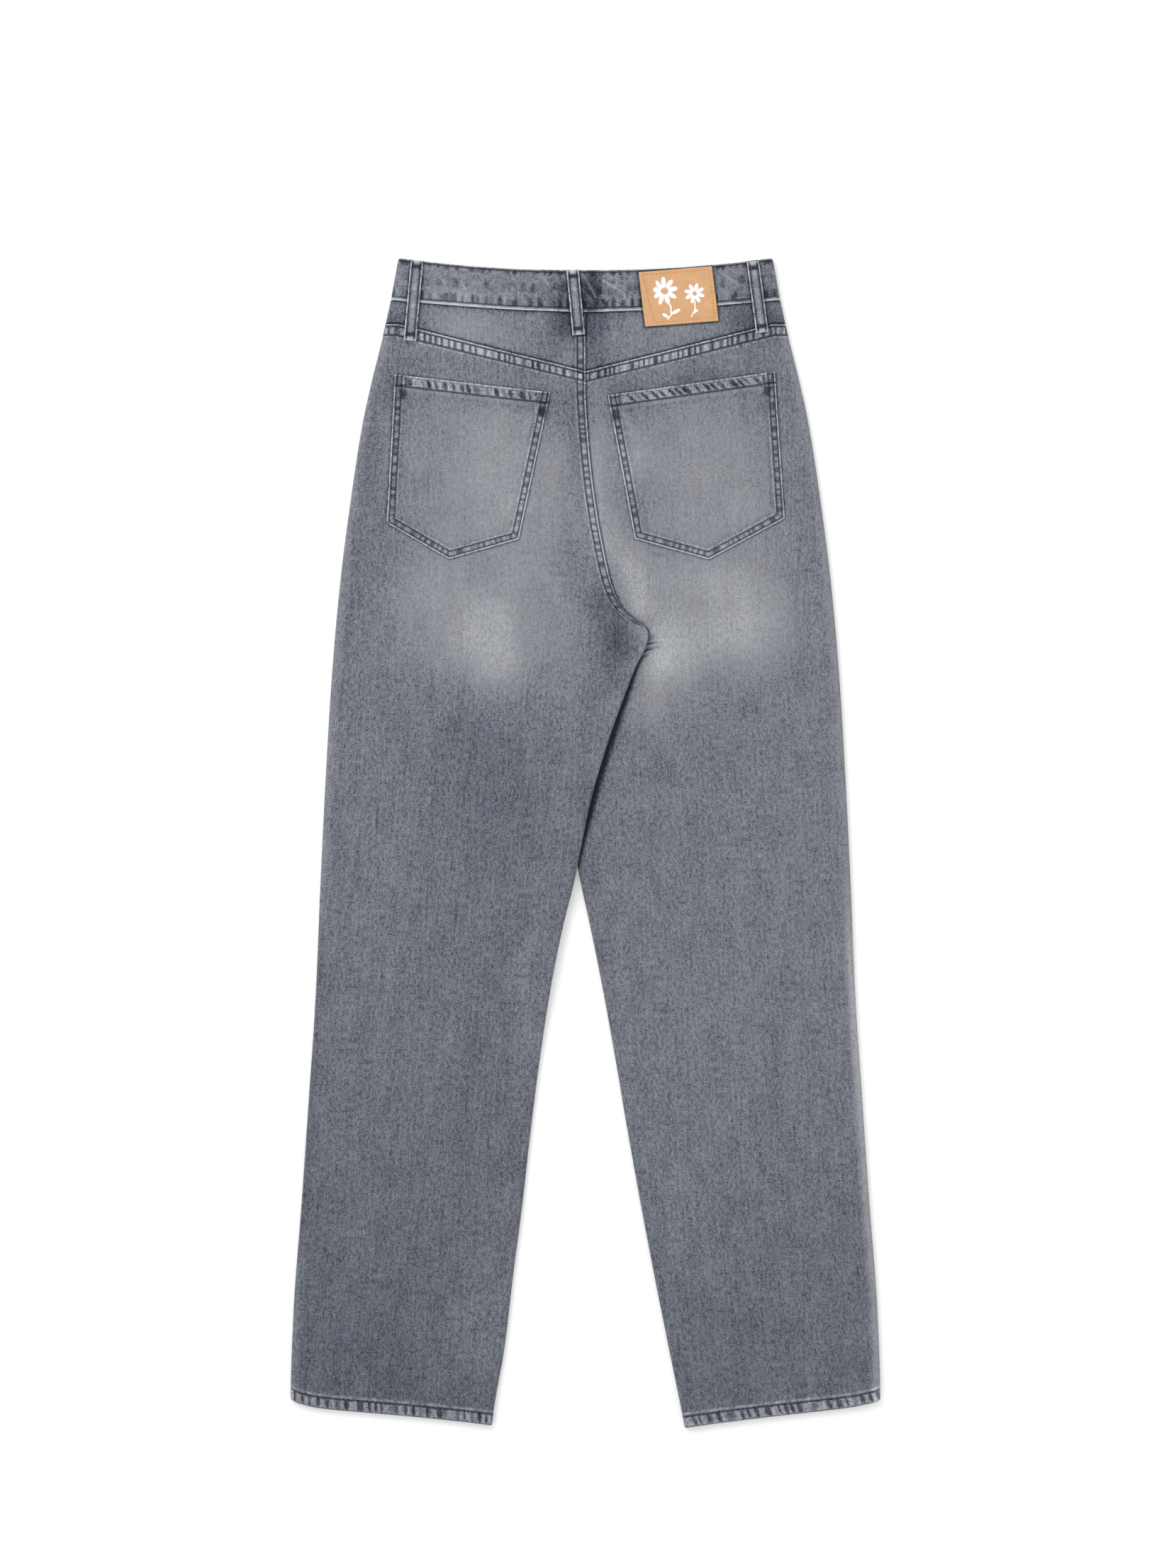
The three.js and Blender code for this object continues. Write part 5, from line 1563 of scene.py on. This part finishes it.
def seat_line(distance, top, low):
    y = np.linspace(top, low, 90)
    x = follow(SEAT_SEAM, y)
    slope = np.gradient(x, y)
    across = distance / np.sqrt(1 + slope**2)
    return np.stack([x - across, y + across * slope], axis=1)


def hem_line(side, distance):
    hem, tilt, _ = HEM[side]
    return row_line(side, hem + distance, tilt, 2.5)


def inset(path, distance):
    """A path of straight stretches moved to its left by a distance."""
    path = np.array(path, float)
    made = []
    normals = []
    for a, b in zip(path, path[1:]):
        d = (b - a) / np.linalg.norm(b - a)
        normals.append(np.array([-d[1], d[0]]))
    made.append(path[0] + normals[0] * distance)
    for point, before, after in zip(path[1:-1], normals, normals[1:]):
        corner = before + after
        made.append(point + corner * distance / (1 + before @ after))
    made.append(path[-1] + normals[-1] * distance)
    return made


BACK_PIECES = ["cloth_yoke_left", "cloth_yoke_right", "cloth_back_left", "cloth_back_right"]


def sew_backs():
    shade = bpy.context.scene.jeans_sewing.thread_colour
    surface = Surface(BACK_PIECES)
    for side in (-1, 1):
        name = SIDE_NAME[side]
        runs = [*[yoke_line(side, row) for row in YOKE_ROWS], hem_line(side, HEM_ROW)]
        sew(f"stitches_back_{name}", surface, runs, shade)
    runs = [seat_line(SEAT_ROWS[0], 471, 192), seat_line(SEAT_ROWS[1], 471, 200)]
    sew("stitches_seat", surface, runs, shade)


# Bar tack at the upper corners of a back pocket
TACK_HEIGHT = 8.0
TACK_WIDTH = 5.2


def sew_pockets():
    shade = bpy.context.scene.jeans_sewing.thread_colour
    for side in (-1, 1):
        top_left, top_right, low_right, tip, low_left = POCKETS[side]
        outline = [top_left, low_left, tip, low_right, top_right]
        runs = [inset(outline, row) for row in POCKET_ROWS]
        runs.append(inset([top_right, top_left], POCKET_TOP_ROW))
        name = SIDE_NAME[side]
        for corner, inward in ((np.array(top_left), 1), (np.array(top_right), -1)):
            for step in np.arange(0, TACK_HEIGHT, 1.3):
                y = corner[1] - 13.5 - step
                x = corner[0] + inward * (1.9 + 0.1 * (13 + step))
                runs.append(([(x, y), (x + inward * TACK_WIDTH, y)], 6.0, 5.0))
        surface = Surface([f"cloth_pocket_{name}"])
        sew(f"stitches_pocket_{name}", surface, runs, shade)


def sew_waistband():
    shade = bpy.context.scene.jeans_sewing.thread_colour
    x = np.linspace(-165, 165, 160)
    above = Surface(["cloth_waistband"])
    lines = band_top(x) - BAND_TOP_ROW, band_bottom(x) + BAND_LOW_ROW
    runs = [np.stack([x, y], axis=1) for y in lines]
    sew("stitches_waistband_back", above, runs, shade, 1.15)
    below = Surface(["cloth_waistband"], below=True)
    x = np.linspace(-160, 160, 160)
    lines = band_top(x) - front_drop(x) - BAND_TOP_ROW, band_bottom(x) - front_drop(x) + BAND_LOW_ROW
    runs = [np.stack([x, y], axis=1) for y in lines]
    sew("stitches_waistband_front", below, runs, shade)


def sew_loops():
    shade = bpy.context.scene.jeans_sewing.thread_colour
    for name, (top, low) in LOOPS.items():
        surface = Surface([f"cloth_belt_loop_back_{name}"])
        top, low = np.array(top), np.array(low)
        along = (low - top) / np.linalg.norm(low - top)
        across = np.array([-along[1], along[0]])
        offsets = (LOOP_ROW - LOOP_WIDTH / 2, LOOP_WIDTH / 2 - LOOP_ROW)
        runs = [[top + across * off + along * 1.5, low + across * off - along * 1.5] for off in offsets]
        for end, sign in ((top, 1), (low, -1)):
            for step in (4.7, 5.3, 5.9, 6.5):
                middle = end + along * sign * step
                runs.append(([middle - across * 3.6, middle + across * 3.6], 3.6, 3.4))
        sew(f"stitches_loop_{name}", surface, runs, shade)


def sew_patch():
    shade = bpy.context.scene.jeans_sewing.patch_thread_colour
    corners = inset([PATCH[1], *PATCH[::-1], PATCH[-1]], PATCH_MARGIN)[1:5]
    runs = [([a, b], 2.75, 1.5) for a, b in zip(corners, [*corners[1:], corners[0]])]
    sew("stitches_patch", Surface(["patch"]), runs, shade, 1.1)


def sew_fronts():
    """The fly's two curved rows, the pocket mouths and the hems, on the side that faces the table."""
    shade = bpy.context.scene.jeans_sewing.thread_colour
    for side in (-1, 1):
        name = SIDE_NAME[side]
        surface = Surface([f"cloth_front_{name}"], below=True)
        mouth = mouth_line(side)[1:]
        runs = [hem_line(side, HEM_ROW)[6:], *[inset(mouth, -side * row) for row in MOUTH_ROWS_OF_STITCHES]]
        if side < 0:
            for inwards in (0, FLY_ROWS_APART):
                y = np.linspace(FLY_STITCH_TOP, FLY_BEND_Y, 30)
                straight = np.stack([np.full_like(y, -FLY_STITCH_X + inwards), y], axis=1)
                bend = np.linspace(0, math.pi / 2, 20)
                x = -FLY_ROW - (FLY_STITCH_X - FLY_ROW - inwards) * np.cos(bend)
                y = FLY_BEND_Y - (FLY_BEND_DROP - inwards) * np.sin(bend)
                runs.append(np.vstack([straight, np.stack([x, y], axis=1)]))
            y = np.linspace(320, 240, 30)
            runs.append(np.stack([np.full_like(y, -FLY_ROW), y], axis=1))
        sew(f"stitches_front_{name}", surface, runs, shade)


def finish_fastenings():
    """The button and the closed zip keep their solids and get their metals."""
    for node, shade, scale in (("button", srgb(150, 150, 152), 700), ("zip", srgb(138, 138, 140), 900)):
        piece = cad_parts[node]
        piece.data.materials.clear()
        piece.data.materials.append(metal(f"metal_{node}", shade, scale))


# The table and the soft light, in metres, and the camera's sensor in millimetres
TABLE_SIZE = 12
TABLE_DROP = 0.0003
TABLE_GLOW = 0.14  # keeps the paper white beside the garment
KEY_PLACE = (-1.25, 1.35, 1.7)
KEY_DIRECTION = (1.25, -1.3, -1.7)
SENSOR_WIDTH = 36


def make_stage():
    settings = bpy.context.scene.jeans_stage
    scene = bpy.context.scene
    scene.view_settings.view_transform = "Standard"
    deselect()
    bpy.ops.mesh.primitive_plane_add(size=TABLE_SIZE, location=(0, 0, -TABLE_DROP))
    floor = bpy.context.object
    floor.name = floor.data.name = "table"
    bpy.ops.object.transform_apply(location=True)
    material, nodes, shader = new_material("table_white", 0.8, specular=0.2)
    paper = nodes.noise(nodes.on_object(), 3, 2.0, 0.5)
    stops = [(0.3, (0.97, 0.97, 0.97)), (0.7, (0.985, 0.985, 0.985))]
    nodes.put(shader.inputs["Base Color"], nodes.ramp(paper, stops))
    shader.inputs["Emission Color"].default_value = (1, 1, 1, 1)
    shader.inputs["Emission Strength"].default_value = TABLE_GLOW
    floor.data.materials.append(material)
    world = bpy.data.worlds.new("studio")
    world.use_nodes = True
    background = world.node_tree.nodes["Background"]
    background.inputs["Color"].default_value = (1, 1, 1, 1)
    background.inputs["Strength"].default_value = settings.room_light
    scene.world = world
    bpy.ops.object.light_add(type="AREA", location=KEY_PLACE)
    key = bpy.context.object
    key.data.energy = settings.key_power
    key.data.size = settings.key_size
    key.rotation_euler = Vector(KEY_DIRECTION).to_track_quat("-Z", "Y").to_euler()
    camera_data = bpy.data.cameras.new("camera")
    camera_data.lens = settings.focal_length
    camera_data.sensor_width = SENSOR_WIDTH
    camera = bpy.data.objects.new("camera", camera_data)
    scene.collection.objects.link(camera)
    centre_x = (PHOTO_WIDTH / 2 - PHOTO_ORIGIN[0]) * PIXEL
    centre_y = (PHOTO_ORIGIN[1] - PHOTO_HEIGHT / 2) * PIXEL
    distance = settings.focal_length / SENSOR_WIDTH * PHOTO_HEIGHT * PIXEL
    camera.location = (centre_x * MM, centre_y * MM, (distance + LOFT) * MM)
    scene.camera = camera


# Operators


class JEANS_OT_backs(bpy.types.Operator):
    """Seat and backs of the legs"""

    bl_idname = "jeans.backs"
    bl_label = "Backs"

    def execute(self, context):
        for side in (-1, 1):
            make_back(side)
        return {"FINISHED"}


class JEANS_OT_yokes(bpy.types.Operator):
    """Pointed yoke halves under the waistband"""

    bl_idname = "jeans.yokes"
    bl_label = "Yokes"

    def execute(self, context):
        for side in (-1, 1):
            make_yoke(side)
        return {"FINISHED"}


class JEANS_OT_fronts(bpy.types.Operator):
    """Fronts of the legs with the denim behind the pocket mouths, on the side that faces the table"""

    bl_idname = "jeans.fronts"
    bl_label = "Fronts"

    def execute(self, context):
        for side in (-1, 1):
            make_front(side)
            make_facing(side)
        return {"FINISHED"}


class JEANS_OT_waistband(bpy.types.Operator):
    """Waistband strip"""

    bl_idname = "jeans.waistband"
    bl_label = "Waistband"

    def execute(self, context):
        make_waistband()
        return {"FINISHED"}


class JEANS_OT_pockets(bpy.types.Operator):
    """Back pockets"""

    bl_idname = "jeans.pockets"
    bl_label = "Back pockets"

    def execute(self, context):
        for side in (-1, 1):
            make_pocket(side)
        return {"FINISHED"}


class JEANS_OT_loops(bpy.types.Operator):
    """Five belt loops"""

    bl_idname = "jeans.loops"
    bl_label = "Belt loops"

    def execute(self, context):
        surface = Surface(["cloth_waistband", *BACK_PIECES])
        for name in LOOPS:
            make_back_loop(name, surface)
        for side in (-1, 1):
            make_front_loop(side)
        return {"FINISHED"}


class JEANS_OT_patch(bpy.types.Operator):
    """Leather patch with its print"""

    bl_idname = "jeans.patch"
    bl_label = "Leather patch"

    def execute(self, context):
        make_patch(Surface(["cloth_waistband", "cloth_yoke_right"]))
        make_print()
        return {"FINISHED"}


class JEANS_OT_fastenings(bpy.types.Operator):
    """Button and zip"""

    bl_idname = "jeans.fastenings"
    bl_label = "Button and zip"

    def execute(self, context):
        finish_fastenings()
        return {"FINISHED"}


class JEANS_OT_sewing(bpy.types.Operator):
    """Stitches and bar tacks"""

    bl_idname = "jeans.sewing"
    bl_label = "Sewing"

    def execute(self, context):
        sew_backs()
        sew_pockets()
        sew_waistband()
        sew_loops()
        sew_patch()
        sew_fronts()
        return {"FINISHED"}


class JEANS_OT_stage(bpy.types.Operator):
    """White table, soft light and the camera above"""

    bl_idname = "jeans.stage"
    bl_label = "Stage"

    def execute(self, context):
        make_stage()
        return {"FINISHED"}


STEPS = (
    "stage", "backs", "yokes", "fronts", "waistband", "pockets", "loops", "patch", "fastenings", "sewing",
)


class JEANS_PT_pieces(bpy.types.Panel):
    """Lists the pieces of the jeans and their settings"""

    bl_idname = "JEANS_PT_pieces"
    bl_label = "Jeans"
    bl_space_type = "VIEW_3D"
    bl_region_type = "UI"
    bl_category = "Jeans"

    def draw(self, context):
        for group in ("jeans_cloth", "jeans_sewing", "jeans_stage"):
            settings = getattr(context.scene, group)
            box = self.layout.box()
            for key in settings.bl_rna.properties.keys():
                if key not in ("rna_type", "name"):
                    box.prop(settings, key)
        for step in STEPS:
            self.layout.operator(f"jeans.{step}")


GROUPS = {"jeans_cloth": JeansCloth, "jeans_sewing": JeansSewing, "jeans_stage": JeansStage}
CLASSES = (
    *GROUPS.values(), JEANS_OT_backs, JEANS_OT_yokes, JEANS_OT_fronts, JEANS_OT_waistband, JEANS_OT_pockets,
    JEANS_OT_loops, JEANS_OT_patch, JEANS_OT_fastenings, JEANS_OT_sewing, JEANS_OT_stage, JEANS_PT_pieces,
)


def register():
    for made in CLASSES:
        bpy.utils.register_class(made)
    for name, group in GROUPS.items():
        setattr(bpy.types.Scene, name, PointerProperty(type=group))


def unregister():
    for name in GROUPS:
        delattr(bpy.types.Scene, name)
    for made in reversed(CLASSES):
        bpy.utils.unregister_class(made)


def main():
    register()
    for step in STEPS:
        getattr(bpy.ops.jeans, step)()


if __name__ == "__main__":
    main()
